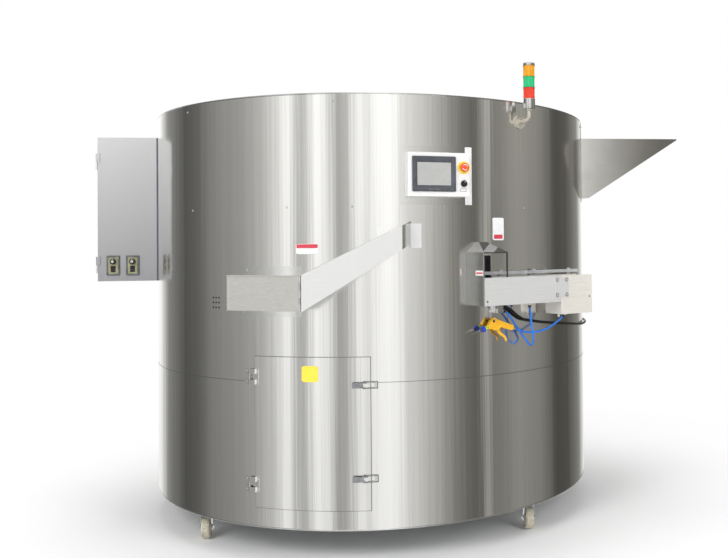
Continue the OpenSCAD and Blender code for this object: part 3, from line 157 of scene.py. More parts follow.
class Paint(Nodes):
    """A Principled material. Coordinates are the object's own, in metres."""

    def __init__(self, name):
        self.mat = bpy.data.materials.new(name)
        self.mat.use_nodes = True
        super().__init__(self.mat.node_tree)
        self.bsdf = self.tree.nodes["Principled BSDF"]
        self.coords = self.node("ShaderNodeTexCoord").outputs["Object"]

    def noise(self, scale, detail=3.0, roughness=0.55, distort=0.0):
        """Noise with a scale in each direction, or one for all, per metre."""
        scale = scale if isinstance(scale, tuple) else (scale,) * 3
        at = self.node("ShaderNodeMapping", {"Scale": scale, "Vector": self.coords}).outputs["Vector"]
        return self.node("ShaderNodeTexNoise", {"Vector": at, "Scale": 1, "Detail": detail,
                                                "Roughness": roughness, "Distortion": distort}).outputs["Fac"]

    def tones(self, source, low, high, start=0.3, stop=0.7):
        """From one colour or grey to another along a noise."""
        return self.ramp(source, [(start, low), (stop, high)])

    def between(self, source, low, high):
        """From one value to another along a noise."""
        return self.map_range(source, 0.3, 0.7, low, high)

    def darken(self, tone, fac, shade):
        """A tone with a share of a grey shade multiplied over it."""
        return self.mix(fac, tone, self.mix(1.0, tone, shade, "MULTIPLY"))

    def bump(self, height, distance, strength=1.0, after=None):
        inputs = {"Strength": strength, "Distance": distance, "Height": height}
        if after is not None:
            inputs["Normal"] = after
        return self.node("ShaderNodeBump", inputs).outputs["Normal"]

    def set(self, **values):
        """Values or sources for the shader's sockets. An underscore stands for a space."""
        for key, value in values.items():
            self.put(self.bsdf.inputs[key.replace("_", " ")], value)
        return self


GRAIN = 0.00002    # height of the grain in sheet metal


def steel(name, light, dark, rough, streak=(60, 60, 0.5), wave=0.0, grain=(900, 900, 8), metallic=1.0,
          smudge=0.5, brushed=0.0):
    """Stainless sheet: long streaks from the rolling and grinding, fine grain, faint smudges and a slight
    waviness. Where the streaks run upright, as on the casing, their light and dark bands are painted
    reflections as well as grain. Brushed sheet draws its reflections out one way."""
    p = Paint(name)
    streaks_and_painted_reflection = p.noise(streak, 5, 0.65)
    fine = p.noise(grain, 2, 0.5)
    cloud = p.noise((3.5, 3.5, 2.2), 4, 0.6, 0.3)
    middle = tuple((a + b) / 2 for a, b in zip(light, dark))
    # Light and dark bands along the streaks: grain, and on the casing's upright streaks painted reflections.
    tone = p.ramp(streaks_and_painted_reflection, [(0.28, dark), (0.5, middle), (0.66, light)])
    tone = p.mix(0.22, tone, p.tones(fine, dark, light))
    tone = p.darken(tone, smudge, p.tones(cloud, 0.86, 1.0, 0.3, 0.62))
    normal = p.bump(fine, GRAIN, 0.5)
    if wave:    # broad waves, and lower ones with a third of their width
        normal = p.bump(p.noise((8, 8, 0.45), 2, 0.4), wave, 1.0, normal)
        normal = p.bump(p.noise((26, 26, 0.3), 3, 0.6), wave * 0.36, 1.0, normal)
    if brushed:
        p.set(Anisotropic=brushed, Anisotropic_Rotation=0.25)
    return p.set(Base_Color=tone, Metallic=metallic, Normal=normal,
                 Roughness=p.map_range(fine, 0.25, 0.75, rough * 0.78, rough * 1.22)).mat


def plastic(name, colour, rough=0.35, grain=700, depth=0.00003, vary=0.12, coat=0.0):
    """Moulded plastic or rubber: a fine moulded grain, slight unevenness of colour and of gloss."""
    p = Paint(name)
    cloud = p.noise(40)
    fine = p.noise(grain, 2)
    low = tuple(c * (1 - vary) for c in colour)
    high = tuple(min(1, c * (1 + vary)) for c in colour)
    return p.set(Base_Color=p.tones(cloud, low, high, 0.35, 0.65),
                 Roughness=p.between(fine, rough * 0.85, rough * 1.15),
                 Normal=p.bump(fine, depth), Coat_Weight=coat, Coat_Roughness=0.12).mat


def painted(name, colour, rough=0.4):
    """Sprayed paint with orange peel and slightly darker clouds."""
    p = Paint(name)
    peel = p.noise(260, 2)
    return p.set(Base_Color=p.tones(p.noise(6, 4), tuple(c * 0.86 for c in colour), colour),
                 Roughness=p.between(peel, rough * 0.9, rough * 1.2), Normal=p.bump(peel, 0.00006)).mat


def door_sheet_painted_shade():
    """The cabinet's door: satin sheet with painted shade, its tone falling off from top to bottom."""
    p = Paint("cabinet_sheet_painted_shade")
    # Painted shade: the tone goes from light at the top to dark at the foot.
    height = p.map_range(p.axis(p.coords, "Z"), 1.14, 1.86, 0, 1)
    tone = p.ramp(height, [(0.0, (0.36, 0.355, 0.37)), (0.22, (0.42, 0.42, 0.43)),
                           (1.0, (0.63, 0.63, 0.64))])
    fine = p.noise((7, 7, 700), 3)
    tone = p.darken(tone, 0.25, p.tones(fine, 0.85, 1.0))
    return p.set(Base_Color=tone, Metallic=0.35, Roughness=p.between(fine, 0.38, 0.52),
                 Normal=p.bump(fine, 0.00003)).mat


def two_finishes(p, mirror, fine, satin, bright, metallic, rough):
    """Satin sheet, and mirror-bright where the mirror value is 1. Each tone is a pair along the fine grain."""
    return p.set(Base_Color=p.mix(mirror, p.tones(fine, *satin), p.tones(fine, *bright)),
                 Metallic=p.map_range(mirror, 0, 1, metallic, 1.0),
                 Roughness=p.map_range(mirror, 0, 1, rough, 0.13), Normal=p.bump(fine, GRAIN, 0.5)).mat


def panel_sheet():
    """The operator panel: its wall frame is as bright as the casing, its box and the right end are satin."""
    p = Paint("panel_sheet")
    turn = math.radians(PANEL_TURN)
    across = p.vector("DOT_PRODUCT", p.coords, (math.cos(turn), math.sin(turn), 0))
    from_axis = p.vector("LENGTH", p.vector("MULTIPLY", p.coords, (1, 1, 0)))
    left = p.map_range(across, 0.132, 0.134, 1, 0)
    back = p.map_range(from_axis, 1.104, 1.108, 1, 0)
    return two_finishes(p, p.maths("MULTIPLY", left, back), p.noise((30, 30, 1400), 2),
                        ((0.87, 0.87, 0.865), (0.93, 0.93, 0.925)), ((0.84, 0.835, 0.81), (0.94, 0.935, 0.915)),
                        0.25, 0.36)


def duct_sheet():
    """The inclined duct: satin, with a bright cut end that faces right."""
    p = Paint("duct_sheet")
    turn = math.radians(DUCT_END_TURN)
    normal = p.node("ShaderNodeTexCoord").outputs["Normal"]
    facing = p.vector("DOT_PRODUCT", normal, (math.sin(turn), -math.cos(turn), 0))
    return two_finishes(p, p.map_range(facing, 0.9, 0.96, 0, 1), p.noise((12, 12, 900), 2),
                        ((0.68, 0.68, 0.675), (0.73, 0.73, 0.725)), ((0.8, 0.8, 0.78), (0.9, 0.9, 0.88)),
                        0.35, 0.34)


def hopper_sheet():
    """The hopper's sheet: polished, and bowed a little towards its tip."""
    p = Paint("hopper_sheet")
    past = p.map_range(p.axis(p.coords, "X"), 1.05, 1.6, 0, 1)
    bow = p.map_range(p.maths("MULTIPLY", past, past), 0, 1, 1, 0)
    fine = p.noise((14, 14, 700), 3)
    tone = p.mix(0.5, p.tones(fine, (0.7, 0.69, 0.66), (0.78, 0.77, 0.74)),
                 p.tones(p.noise(5), (0.62, 0.61, 0.58), (0.8, 0.79, 0.76), 0.35, 0.65))
    return p.set(Base_Color=tone, Metallic=1.0, Roughness=p.between(fine, 0.17, 0.24),
                 Normal=p.bump(bow, 0.085, 1.0, p.bump(fine, GRAIN, 0.5))).mat


def belt_rubber():
    """The belt: fine ribs across its run, and dust."""
    p = Paint("belt_rubber")
    turn = (0, 0, math.radians(-CONVEYOR_TURN))
    along = p.node("ShaderNodeMapping", {"Rotation": turn, "Vector": p.coords}).outputs["Vector"]
    ribs = p.node("ShaderNodeTexWave", {"Scale": 26, "Distortion": 0.3, "Vector": along}).outputs["Fac"]
    dust = p.noise(30, 4)
    tone = p.mix(0.5, p.tones(ribs, 0.025, 0.06, 0.2, 0.7), p.tones(dust, 0.03, 0.075, 0.3, 0.75))
    return p.set(Base_Color=tone, Roughness=p.between(dust, 0.5, 0.75), Normal=p.bump(ribs, 0.0006)).mat


def lens_plastic(name, colour):
    """Clear coloured lens with fine upright prisms inside."""
    p = Paint(name)
    cloud = p.noise((150, 150, 12), 2)
    return p.set(Base_Color=p.tones(cloud, tuple(c * 0.7 for c in colour), colour),
                 Roughness=p.between(cloud, 0.08, 0.2), Normal=p.bump(cloud, 0.0002),
                 Subsurface_Weight=0.35, Subsurface_Radius=(0.02, 0.02, 0.02),
                 Coat_Weight=0.6, Coat_Roughness=0.06).mat


def tread():
    """Cast nylon wheel: ivory, scuffed and dusty."""
    p = Paint("wheel_nylon")
    scuff = p.noise(70, 5, 0.7)
    tone = p.ramp(scuff, [(0.3, (0.38, 0.35, 0.26)), (0.52, (0.66, 0.62, 0.48)),
                          (0.75, (0.78, 0.75, 0.62))])
    return p.set(Base_Color=tone, Roughness=p.between(scuff, 0.35, 0.6),
                 Normal=p.bump(p.noise(500, 2), 0.0001)).mat


SATIN_GRIND = {"streak": (3, 3, 120), "grain": (12, 12, 900), "smudge": 0.3}    # level grinding marks

# The casing's upright streaks in its tone are painted reflection bands over the sheet's grain.
CASING = steel("casing_sheet", (0.975, 0.97, 0.95), (0.9, 0.895, 0.872), 0.14, (40, 40, 0.4), wave=0.0016,
               smudge=0.15, brushed=0.85)
MIRROR = steel("mirror_sheet", (0.95, 0.95, 0.94), (0.86, 0.86, 0.85), 0.14, (40, 40, 40), wave=0.0004,
               smudge=0.3)
HOOD = steel("hood_sheet", (0.36, 0.36, 0.35), (0.29, 0.29, 0.28), 0.09, (30, 30, 30), wave=0.0003, smudge=0.3)
SATIN = steel("satin_sheet", (0.83, 0.83, 0.825), (0.78, 0.78, 0.775), 0.34, metallic=0.4, **SATIN_GRIND)
WARM = steel("block_sheet", (0.93, 0.9, 0.83), (0.89, 0.86, 0.79), 0.32, metallic=0.35, **SATIN_GRIND)
COVER = steel("cover_sheet", (0.73, 0.72, 0.685), (0.69, 0.68, 0.645), 0.24, (2, 2, 60), grain=(12, 12, 900),
              metallic=0.6, smudge=0.3)
DULL = steel("inner_sheet", (0.68, 0.68, 0.68), (0.5, 0.5, 0.5), 0.42, (20, 20, 20), grain=(300, 300, 300))
BRIGHT = steel("bright_metal", (0.88, 0.88, 0.88), (0.72, 0.72, 0.72), 0.16, (60, 60, 60),
               grain=(500, 500, 500))
GEAR = steel("gear_steel", (0.46, 0.46, 0.46), (0.3, 0.3, 0.31), 0.38, (90, 90, 90), grain=(600, 600, 600))
LATCH = steel("latch_zinc", (0.55, 0.56, 0.58), (0.3, 0.31, 0.33), 0.34, (90, 90, 90), grain=(600, 600, 600))
ZINC = steel("fork_zinc", (0.72, 0.74, 0.76), (0.45, 0.47, 0.5), 0.26, (50, 50, 50), grain=(400, 400, 400))
TUBE = steel("tower_tube", (0.8, 0.76, 0.66), (0.6, 0.57, 0.48), 0.36, (70, 70, 70), grain=(500, 500, 500),
             metallic=0.6)
FRAME_PAINT = painted("frame_paint", (0.46, 0.47, 0.48))
MOTOR = painted("motor_paint", (0.1, 0.2, 0.36), 0.35)
DOOR = door_sheet_painted_shade()
# Dark lilac: the gun star's own colour, and painted shade on the cabinet door's right edge.
DARK_LILAC_AND_EDGE_SHADE = painted("dark_lilac_and_edge_shade", (0.11, 0.075, 0.14), 0.4)
BELT = belt_rubber()
RAIL = plastic("rail_plastic", (0.5, 0.51, 0.52), 0.3)
TREAD = tread()
BEZEL = plastic("bezel_plastic", (0.075, 0.08, 0.095), 0.22, 500, coat=0.3)
CONTROL = plastic("control_bezel", (0.12, 0.13, 0.14), 0.35, 300, 0.0001, 0.3)
DISPLAY = plastic("display_film", (0.42, 0.42, 0.41), 0.14, 900, 0.00001, 0.03, 0.5)
RED = plastic("button_red", (0.78, 0.1, 0.03), 0.25, 600, coat=0.4)
YELLOW = plastic("ring_yellow", (0.88, 0.7, 0.07), 0.32)
BLACK = plastic("black_plastic", (0.016, 0.016, 0.018), 0.3)
RUBBER = plastic("black_rubber", (0.012, 0.012, 0.013), 0.42, 900)
SEAL_AND_SHADE_GREY = plastic("grey_seal_and_shade", (0.16, 0.16, 0.155), 0.4, 900)
PLATE_YELLOW = plastic("plate_yellow", (0.92, 0.72, 0.07), 0.3, vary=0.02)
WHITE = plastic("plate_white", (0.84, 0.84, 0.84), 0.3, vary=0.03)
SIGN_RED = plastic("plate_red", (0.66, 0.06, 0.09), 0.3, vary=0.05)
OLIVE = plastic("face_plate", (0.34, 0.33, 0.19), 0.35)
GUN = plastic("gun_amber", (0.88, 0.46, 0.015), 0.3, 400, vary=0.08, coat=0.3)
LIME = plastic("gun_lime", (0.5, 0.52, 0.03), 0.3)
BLUE = plastic("ring_blue", (0.01, 0.07, 0.62), 0.28)
HOSE = plastic("hose_blue", (0.02, 0.2, 0.78), 0.18, 300, vary=0.1, coat=0.4)
PANEL = panel_sheet()
DUCT = duct_sheet()
HOPPER = hopper_sheet()
LENS_RED = lens_plastic("lens_red", (0.9, 0.06, 0.02))
LENS_GREEN = lens_plastic("lens_green", (0.02, 0.62, 0.24))
LENS_AMBER = lens_plastic("lens_amber", (0.92, 0.4, 0.01))

FINISH = {
    CASING: "casing_lower casing_upper access_door",
    MIRROR: "side_box",
    COVER: "side_box_cover",
    HOOD: "discharge_hood",
    PANEL: "operator_box",
    DUCT: "inclined_duct",
    HOPPER: "infeed_hopper",
    SATIN: "conveyor_sides cabinet_housing",
    WARM: "end_block",
    DULL: "deck rotor_drum rotor_chutes belt_bed casing_frame",
    BRIGHT: "casing_screws door_fittings main_shaft main_bearings tail_roller head_roller air_fittings",
    GEAR: "ring_gear pinion",
    LATCH: "latch_lever_low latch_lever_high latch_bail_low latch_bail_high",
    ZINC: "fork_1 fork_2 fork_3 fork_4",
    TUBE: "tower_stem",
    FRAME_PAINT: "base_frame column",
    MOTOR: "gear_motor",
    DOOR: "cabinet_door",
    BELT: "conveyor_belt",
    RAIL: "guide_rail",
    TREAD: "wheel_1 wheel_2 wheel_3 wheel_4",
    BEZEL: "touch_screen",
    RED: "stop_button",
    BLACK: "speed_knob_left speed_knob_right rocker_left rocker_right selector_knob",
    GUN: "gun_body gun_trigger",
    HOSE: "hose_loop hose_gun",
    RUBBER: "power_cable",
    LENS_RED: "lens_red",
    LENS_GREEN: "lens_green",
    LENS_AMBER: "lens_amber",
}
for material, names in FINISH.items():
    for n in names.split():
        slots = nodes[n].material_slots
        for s in slots:
            s.material = material
        if not slots:
            nodes[n].data.materials.append(material)


# ---------------------------------------------------------------- mesh helpers

# u to the right, v up and w outwards, as seen from the front. A turn follows.
OUTWARD = Matrix(((1, 0, 0, 0), (0, 0, -1, 0), (0, 1, 0, 0), (0, 0, 0, 1)))
# u outwards, v up and w to the left, as seen from the front.
SIDEWAYS = Matrix(((0, 0, -1, 0), (-1, 0, 0, 0), (0, 1, 0, 0), (0, 0, 0, 1)))

BEVEL_ANGLE = math.radians(28)
SHARP_ANGLE = math.radians(32)


def turned(angle):
    return Matrix.Rotation(math.radians(angle), 4, "Z")


def at_casing(angle, z, out=R):
    """A place on the casing: u runs to the right, v up, w outwards."""
    return turned(angle) @ Matrix.Translation((0, -out, z)) @ OUTWARD


def at_face(angle, s, d, z):
    """A place on a flat face that looks in the given direction: s along it, d from the casing's axis."""
    return turned(angle) @ Matrix.Translation((s, -d, z)) @ OUTWARD


def piece(name, bm, place, material, body, bevel=0.0, segments=2, smooth=True):
    """A visible piece of the given body, made from a bmesh that ends here."""
    bmesh.ops.recalc_face_normals(bm, faces=bm.faces)
    mesh = bpy.data.meshes.new(name)
    bm.to_mesh(mesh)
    bm.free()
    mesh.transform(place)
    obj = bpy.data.objects.new(name, mesh)
    scene.collection.objects.link(obj)
    mesh.materials.append(material)
    if bevel:
        b = obj.modifiers.new("bevel", "BEVEL")
        b.width, b.segments, b.limit_method = bevel, segments, "ANGLE"
        b.angle_limit = BEVEL_ANGLE
    if smooth:
        for f in mesh.polygons:
            f.use_smooth = True
        mesh.set_sharp_from_angle(angle=SHARP_ANGLE)
    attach(obj, body)
    return obj


def solid(rings, caps=True, endless=False):
    """A bmesh with faces from each ring of points to the next. Caps close the first ring and the last."""
    bm = bmesh.new()
    loops = [[bm.verts.new(p) for p in ring] for ring in rings]
    pairs = list(zip(loops, loops[1:]))
    if endless:
        pairs.append((loops[-1], loops[0]))
    for a, b in pairs:
        for i in range(len(a)):
            j = (i + 1) % len(a)
            bm.faces.new((a[i], a[j], b[j], b[i]))
    if caps:
        bm.faces.new(loops[0][::-1])
        bm.faces.new(loops[-1])
    return bm


def loft(outlines, caps=True):
    """Outlines in u and v with the same number of points, each at its own w, joined in turn."""
    return solid([[(x, y, w) for x, y in outline] for outline, w in outlines], caps)


def prism(outline, low, high):
    """A flat outline in u and v, carried from low to high along w."""
    return loft([(outline, low), (outline, high)])


def lathe(profile, count=48, at=(0, 0), dents=0, dent=0.0):
    """A profile of radius and height turned about w. Dents is the number of flutes in its rim."""
    rim = 0.6 * max(r for r, _ in profile)
    rings = []
    for r, h in profile:
        ring = []
        for k in range(count):
            a = 2 * math.pi * k / count
            rr = r - (dent * (0.5 - 0.5 * math.cos(a * dents)) if dents and r > rim else 0)
            ring.append((at[0] + rr * math.cos(a), at[1] + rr * math.sin(a), h))
        rings.append(ring)
    return solid(rings)


def rounded(w, h, r, at=(0, 0)):
    """The outline of a rectangle with rounded corners."""
    steps = 5    # to a corner
    out = []
    for cx, cy, start in ((1, 1, 0), (-1, 1, 90), (-1, -1, 180), (1, -1, 270)):
        for k in range(steps + 1):
            a = math.radians(start + 90 * k / steps)
            out.append((at[0] + cx * (w / 2 - r) + r * math.cos(a), at[1] + cy * (h / 2 - r) + r * math.sin(a)))
    return out


def polar(radius, angles):
    return [(radius * math.cos(a), radius * math.sin(a)) for a in angles]


def hoop(r_in, r_out, low, high, start, stop, edge=0.0):
    """A ring about the casing's axis, or part of one, with its outer edges cut off by the edge given."""
    span = stop - start
    full = span >= 360
    count = max(4, int(span / 1.5))
    section = [(r_in, low), (r_out, low), (r_out, high), (r_in, high)]
    if edge:
        section[1:3] = [(r_out - edge, low), (r_out, low + edge), (r_out, high - edge), (r_out - edge, high)]
    rings = []
    for k in range(count if full else count + 1):
        a = math.radians(start + span * k / count)
        rings.append([(r * math.sin(a), -r * math.cos(a), z) for r, z in section])
    return solid(rings, caps=not full, endless=full)


def wrapped(angle, z, w, h, corner, thick, base):
    """A plate with rounded corners bent round the casing, with its back at the radius base."""
    columns = 8

    def on(x, y, r):
        a = math.radians(angle) + x / R
        return r * math.sin(a), -r * math.cos(a), z + y

    rings = []
    for k in range(columns + 1):
        x = -w / 2 + w * k / columns
        inset = max(0.0, abs(x) - (w / 2 - corner))
        half = h / 2 - corner + math.sqrt(max(0.0, corner ** 2 - inset ** 2))
        rings.append([on(x, -half, base), on(x, half, base), on(x, half, base + thick),
                      on(x, -half, base + thick)])
    return solid(rings)


def tube_piece(name, points, radius, material, body):
    """A round tube along points, kept as a curve."""
    data = bpy.data.curves.new(name, "CURVE")
    data.dimensions = "3D"
    data.bevel_depth = radius
    data.bevel_resolution = 4
    data.use_fill_caps = True
    s = data.splines.new("POLY")
    s.points.add(len(points) - 1)
    for q, p in zip(s.points, points):
        q.co = (*p, 1)
    obj = bpy.data.objects.new(name, data)
    scene.collection.objects.link(obj)
    data.materials.append(material)
    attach(obj, body)
    return obj


def run(points, count):
    """Catmull-Rom points through a route."""
    p = [Vector(q) for q in points]
    out = []
    for i in range(len(p) - 1):
        a, b, c, d = p[max(i - 1, 0)], p[i], p[i + 1], p[min(i + 2, len(p) - 1)]
        for k in range(count):
            t = k / count
            out.append(0.5 * (2 * b + (c - a) * t + (2 * a - 5 * b + 4 * c - d) * t * t
                              + (3 * b - 3 * c + d - a) * t ** 3))
    return out + [p[-1]]


# ---------------------------------------------------------------- hoses and cable

HOSE_LOOP = [(0.5461, -0.9804, 1.022), (0.5553, -0.9755, 1.016), (0.566, -0.97, 1.009),
             (0.585, -0.957, 0.985), (0.601, -0.945, 0.959), (0.622, -0.932, 0.933), (0.641, -0.9185, 0.904),
             (0.655, -0.917, 0.885), (0.666, -0.932, 0.869), (0.673, -0.955, 0.868), (0.676, -0.976, 0.882),
             (0.675, -0.987, 0.903), (0.672, -0.989, 0.928), (0.668, -0.984, 0.958), (0.6665, -0.971, 0.99),
             (0.6663, -0.957, 1.016), (0.6663, -0.9506, 1.031), (0.6663, -0.9501, 1.0416)]
HOSE_GUN = [(0.841, -0.8423, 0.9874), (0.833, -0.8469, 0.9797), (0.825, -0.8515, 0.972),
            (0.812, -0.857, 0.9625), (0.787, -0.866, 0.946), (0.762, -0.882, 0.935), (0.736, -0.897, 0.927),
            (0.71, -0.911, 0.9225), (0.6855, -0.9234, 0.921), (0.66, -0.935, 0.922), (0.64, -0.9435, 0.9265),
            (0.6225, -0.9514, 0.933), (0.6072, -0.9589, 0.9389), (0.5936, -0.9655, 0.9441)]
CABLE = [(0.5438, -0.9703, 1.036), (0.5557, -0.964, 1.036), (0.57, -0.956, 1.031), (0.59, -0.944, 1.017),
         (0.612, -0.93, 0.998), (0.64, -0.911, 0.98), (0.672, -0.887, 0.971), (0.715, -0.852, 0.962),
         (0.7635, -0.8085, 0.953), (0.826, -0.744, 0.943), (0.887, -0.6705, 0.934), (0.952, -0.575, 0.922),
         (1.0107, -0.4637, 0.911), (1.056, -0.35, 0.907), (1.086, -0.24, 0.905), (1.104, -0.13, 0.904),
         (1.112, -0.02, 0.904), (1.1135, 0.05, 0.905), (1.1106, 0.096, 0.905), (1.1087, 0.111, 0.905)]


def lay_cord(name, route, diameter, material, node):
    """A cord on the frame, laid along its route in place of a node."""
    line = run(route, 5)
    obj = tube_piece(name, line, diameter / 2, material, "frame")
    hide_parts(node)


lay_cord("air_hose_loop", HOSE_LOOP, 0.009, HOSE, "hose_loop")
lay_cord("air_hose_gun", HOSE_GUN, 0.009, HOSE, "hose_gun")
lay_cord("power_lead", CABLE, 0.012, RUBBER, "power_cable")


# ---------------------------------------------------------------- casing details

# The seam runs from the access door's right side all the way round to its left.
seam_half = DOOR_HALF + 0.4
seam = hoop(R + SKIN, R + 0.0007, SEAM - 0.0012, SEAM + 0.0012, DOOR_TURN + seam_half,
            360 + DOOR_TURN - seam_half, 0.0003)
top_hem = hoop(R - 0.006, R + 0.0016, CASING_TOP - 0.0045, CASING_TOP + 0.002, 0, 360, 0.002)
bottom_hem = hoop(R - 0.005, R + 0.0014, CASING_FOOT - 0.0016, CASING_FOOT + 0.0045, 0, 360, 0.0018)
piece("seam_line", seam, WORLD, LATCH, "frame")
piece("top_hem", top_hem, WORLD, BRIGHT, "frame")
piece("bottom_hem", bottom_hem, WORLD, BRIGHT, "frame")

for row in range(3):
    for col in range(3):
        dimple = lathe([(0.0022, 0.0004), (0.0034, 0.0009), (0.0042, 0.0003), (0.0042, 0.0)], 20)
        dimple_place = at_casing(-38.5 + (col - 1) * 0.9, 1.07 + (1 - row) * 0.021, R + SKIN)
        piece(f"dimple_{row}{col}", dimple, dimple_place, BLACK, "frame")

# A grey seal round the access door; its dark rim is also painted shade along the door's edges.
seal_and_shade_half = DOOR_HALF + 0.15
seal_and_shade = hoop(R + SKIN, R + 0.0004, DOOR_LOW - 0.0025, DOOR_HIGH + 0.0025, DOOR_TURN - seal_and_shade_half,
              DOOR_TURN + seal_and_shade_half)
piece("door_seal_and_edge_shade", seal_and_shade, WORLD, SEAL_AND_SHADE_GREY, "access_door", smooth=False)


# ---------------------------------------------------------------- plates

PLATE_BACK = R + SKIN
BAND_BACK = R + 0.00101    # just over a plate's face
DOOR_BACK = R + 0.0031     # just over the access door


def bent_plate(name, turn, z, w, h, corner, thick, back, material, body="frame", bevel=EDGE_BEVEL):
    """A plate bent round the casing, with its middle at the turn and height given."""
    piece(name, wrapped(turn, z, w, h, corner, thick, back), WORLD, material, body, bevel)


bent_plate("plate_a", -14.9, 1.297, 0.095, 0.042, 0.003, 0.0009, PLATE_BACK, WHITE)
bent_plate("plate_a_band", -14.9, 1.3085, 0.091, 0.016, 0.001, 0.0002, BAND_BACK, SIGN_RED, bevel=0.0)
bent_plate("plate_b", 28.7, 1.376, 0.060, 0.098, 0.003, 0.0009, PLATE_BACK, WHITE)
bent_plate("plate_b_band", 28.7, 1.3425, 0.046, 0.0185, 0.001, 0.0002, BAND_BACK, SIGN_RED, bevel=0.0)
hood_side = turned(CONVEYOR_TURN) @ Matrix.Translation((CONVEYOR_LEFT, -1.18, 1.19)) @ SIDEWAYS
piece("plate_c", prism(rounded(0.052, 0.021, 0.002), 0.0003, 0.0012), hood_side, WHITE, "frame", EDGE_BEVEL)
piece("plate_c_band", prism(rounded(0.044, 0.007, 0.001), 0.00122, 0.0015), hood_side, SIGN_RED, "frame",
      smooth=False)
bent_plate("plate_door", DOOR_TURN, 0.782, 0.070, 0.066, 0.006, 0.001, DOOR_BACK, PLATE_YELLOW, "access_door")


# ---------------------------------------------------------------- splice plate, hood's edge, mouth of the duct

for s, column in ((-0.024, "l"), (0.032, "r")):
    for z, level in ((-0.033, "a"), (0.033, "b")):
        washer = lathe([(0.0052, 0.0021), (0.0082, 0.0021), (0.0088, 0.0026), (0.0082, 0.0031),
                        (0.0052, 0.0031)], 32)
        piece(f"splice_washer_{column}{level}", washer,
              at_face(CONVEYOR_TURN, CONVEYOR_JOINT + s, CONVEYOR_FRONT, 1.117 + z), LATCH, "frame")
hood_edge = prism([(-0.0002, 1.056), (0.0028, 1.056), (0.0028, 1.277), (-0.0002, 1.277)], -0.002, 0.0004)
piece("hood_edge", hood_edge,
      at_face(CONVEYOR_TURN, CONVEYOR_LEFT, CONVEYOR_FRONT, 0), BRIGHT, "frame", EDGE_BEVEL)
bent_plate("duct_mouth_plate", 2.3, 1.36, 0.085, 0.056, 0.003, 0.0009, PLATE_BACK, CASING)


# ---------------------------------------------------------------- operator panel

def nested(sizes, at=(0, 0)):
    """Rounded rectangles for a loft. Each size is a width, a height, a corner radius and a place along w."""
    return [(rounded(w, h, r, at=at), place) for w, h, r, place in sizes]


def screen():
    """The touch screen: its frame, its display, a strip and a lamp under it."""
    place = at_face(PANEL_TURN, -0.021, PANEL_FRONT, 1.603)
    w, h = 0.188, 0.146
    open_w, open_h = 0.146, 0.096
    rings = nested([(w, h, 0.004, 0.0002), (w, h, 0.004, 0.0055), (w - 0.005, h - 0.005, 0.004, 0.0078),
                    (w - 0.022, h - 0.022, 0.003, 0.0072), (open_w + 0.012, open_h + 0.012, 0.003, 0.0072),
                    (open_w, open_h, 0.002, 0.0042), (open_w - 0.002, open_h - 0.002, 0.002, 0.003)])
    bezel = piece("screen_bezel", loft(rings), place, BEZEL, "frame", 0.0004)
    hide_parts("touch_screen")
    display = prism(rounded(open_w - 0.001, open_h - 0.001, 0.002), 0.003, 0.0041)
    piece("screen_display", display, place, DISPLAY, "frame", EDGE_BEVEL)
    strip = prism(rounded(0.052, 0.004, 0.0015, at=(0, -0.0635)), 0.0071, 0.0079)
    piece("screen_strip", strip, place, LATCH, "frame", 0.0002)
    lamp = lathe([(0.0022, 0.0070), (0.0022, 0.0079), (0.0015, 0.0084)], 20, at=(0.078, -0.0635))
    piece("screen_lamp", lamp, place, LENS_GREEN, "frame")


def stop():
    """The stop button: its yellow ring, its mushroom head and two arrows for the turn that frees it."""
    place = at_face(PANEL_TURN, 0.108, PANEL_FRONT, 1.631)
    ring = lathe([(0.0115, 0.0021), (0.0262, 0.0021), (0.0268, 0.0026), (0.0268, 0.0029), (0.0255, 0.0034),
                  (0.0205, 0.00355), (0.0125, 0.0034), (0.0115, 0.0028)], 64)
    piece("stop_ring", ring, place, YELLOW, "frame")
    cap = lathe([(0.0104, -0.014), (0.0104, 0.0098), (0.0158, 0.0098), (0.0184, 0.0122), (0.0194, 0.0152),
                 (0.0192, 0.0178), (0.0176, 0.0206), (0.0145, 0.0224), (0.0100, 0.0233), (0.0050, 0.0237),
                 (0.0012, 0.0238)], 72)
    mushroom = piece("stop_mushroom", cap, place, RED, "stop_button")
    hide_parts("stop_button")
    for k in range(2):
        first = 20 + 180 * k
        sweep = [math.radians(first + 12 * i) for i in range(9)]
        tip = [math.radians(first + 118)]
        outline = polar(0.0128, sweep) + polar(0.0114, tip) + polar(0.0102, sweep[::-1])
        piece(f"stop_arrow_{k + 1}", prism(outline, 0.0218, 0.0236), place, WHITE, "stop_button", 0.0002)


def selector():
    """The selector switch with its handle, and the plate under it."""
    place = at_face(PANEL_TURN, 0.108, PANEL_FRONT, 1.564)
    base = lathe([(0.0104, -0.010), (0.0104, 0.0035), (0.0142, 0.0035), (0.0142, 0.0068), (0.0132, 0.0088),
                  (0.0115, 0.0094)], 56)
    body = piece("selector_body", base, place, BLACK, "selector_knob")
    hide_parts("selector_knob")
    handle = [(-0.0042, -0.0135), (0.0042, -0.0135), (0.0052, 0.0), (0.0038, 0.0140), (0.0, 0.0162),
              (-0.0038, 0.0140), (-0.0052, 0.0)]
    piece("selector_handle", prism(handle, 0.0088, 0.0185), place, BLACK, "selector_knob", 0.0014, 3)
    line = prism(rounded(0.0014, 0.009, 0.0006, at=(0, 0.0085)), 0.0184, 0.0188)
    piece("selector_line", line, place, WHITE, "selector_knob")
    tag = at_face(PANEL_TURN, 0.106, PANEL_FRONT, 1.537)
    piece("selector_plate", prism(rounded(0.028, 0.011, 0.002), 0.0002, 0.0016), tag, LATCH, "frame", 0.0004)
    piece("selector_tag", prism(rounded(0.0245, 0.0078, 0.0015), 0.0014, 0.0021), tag, WHITE, "frame", 0.0002)


screen()
stop()
selector()


# ---------------------------------------------------------------- speed controllers, cabinet

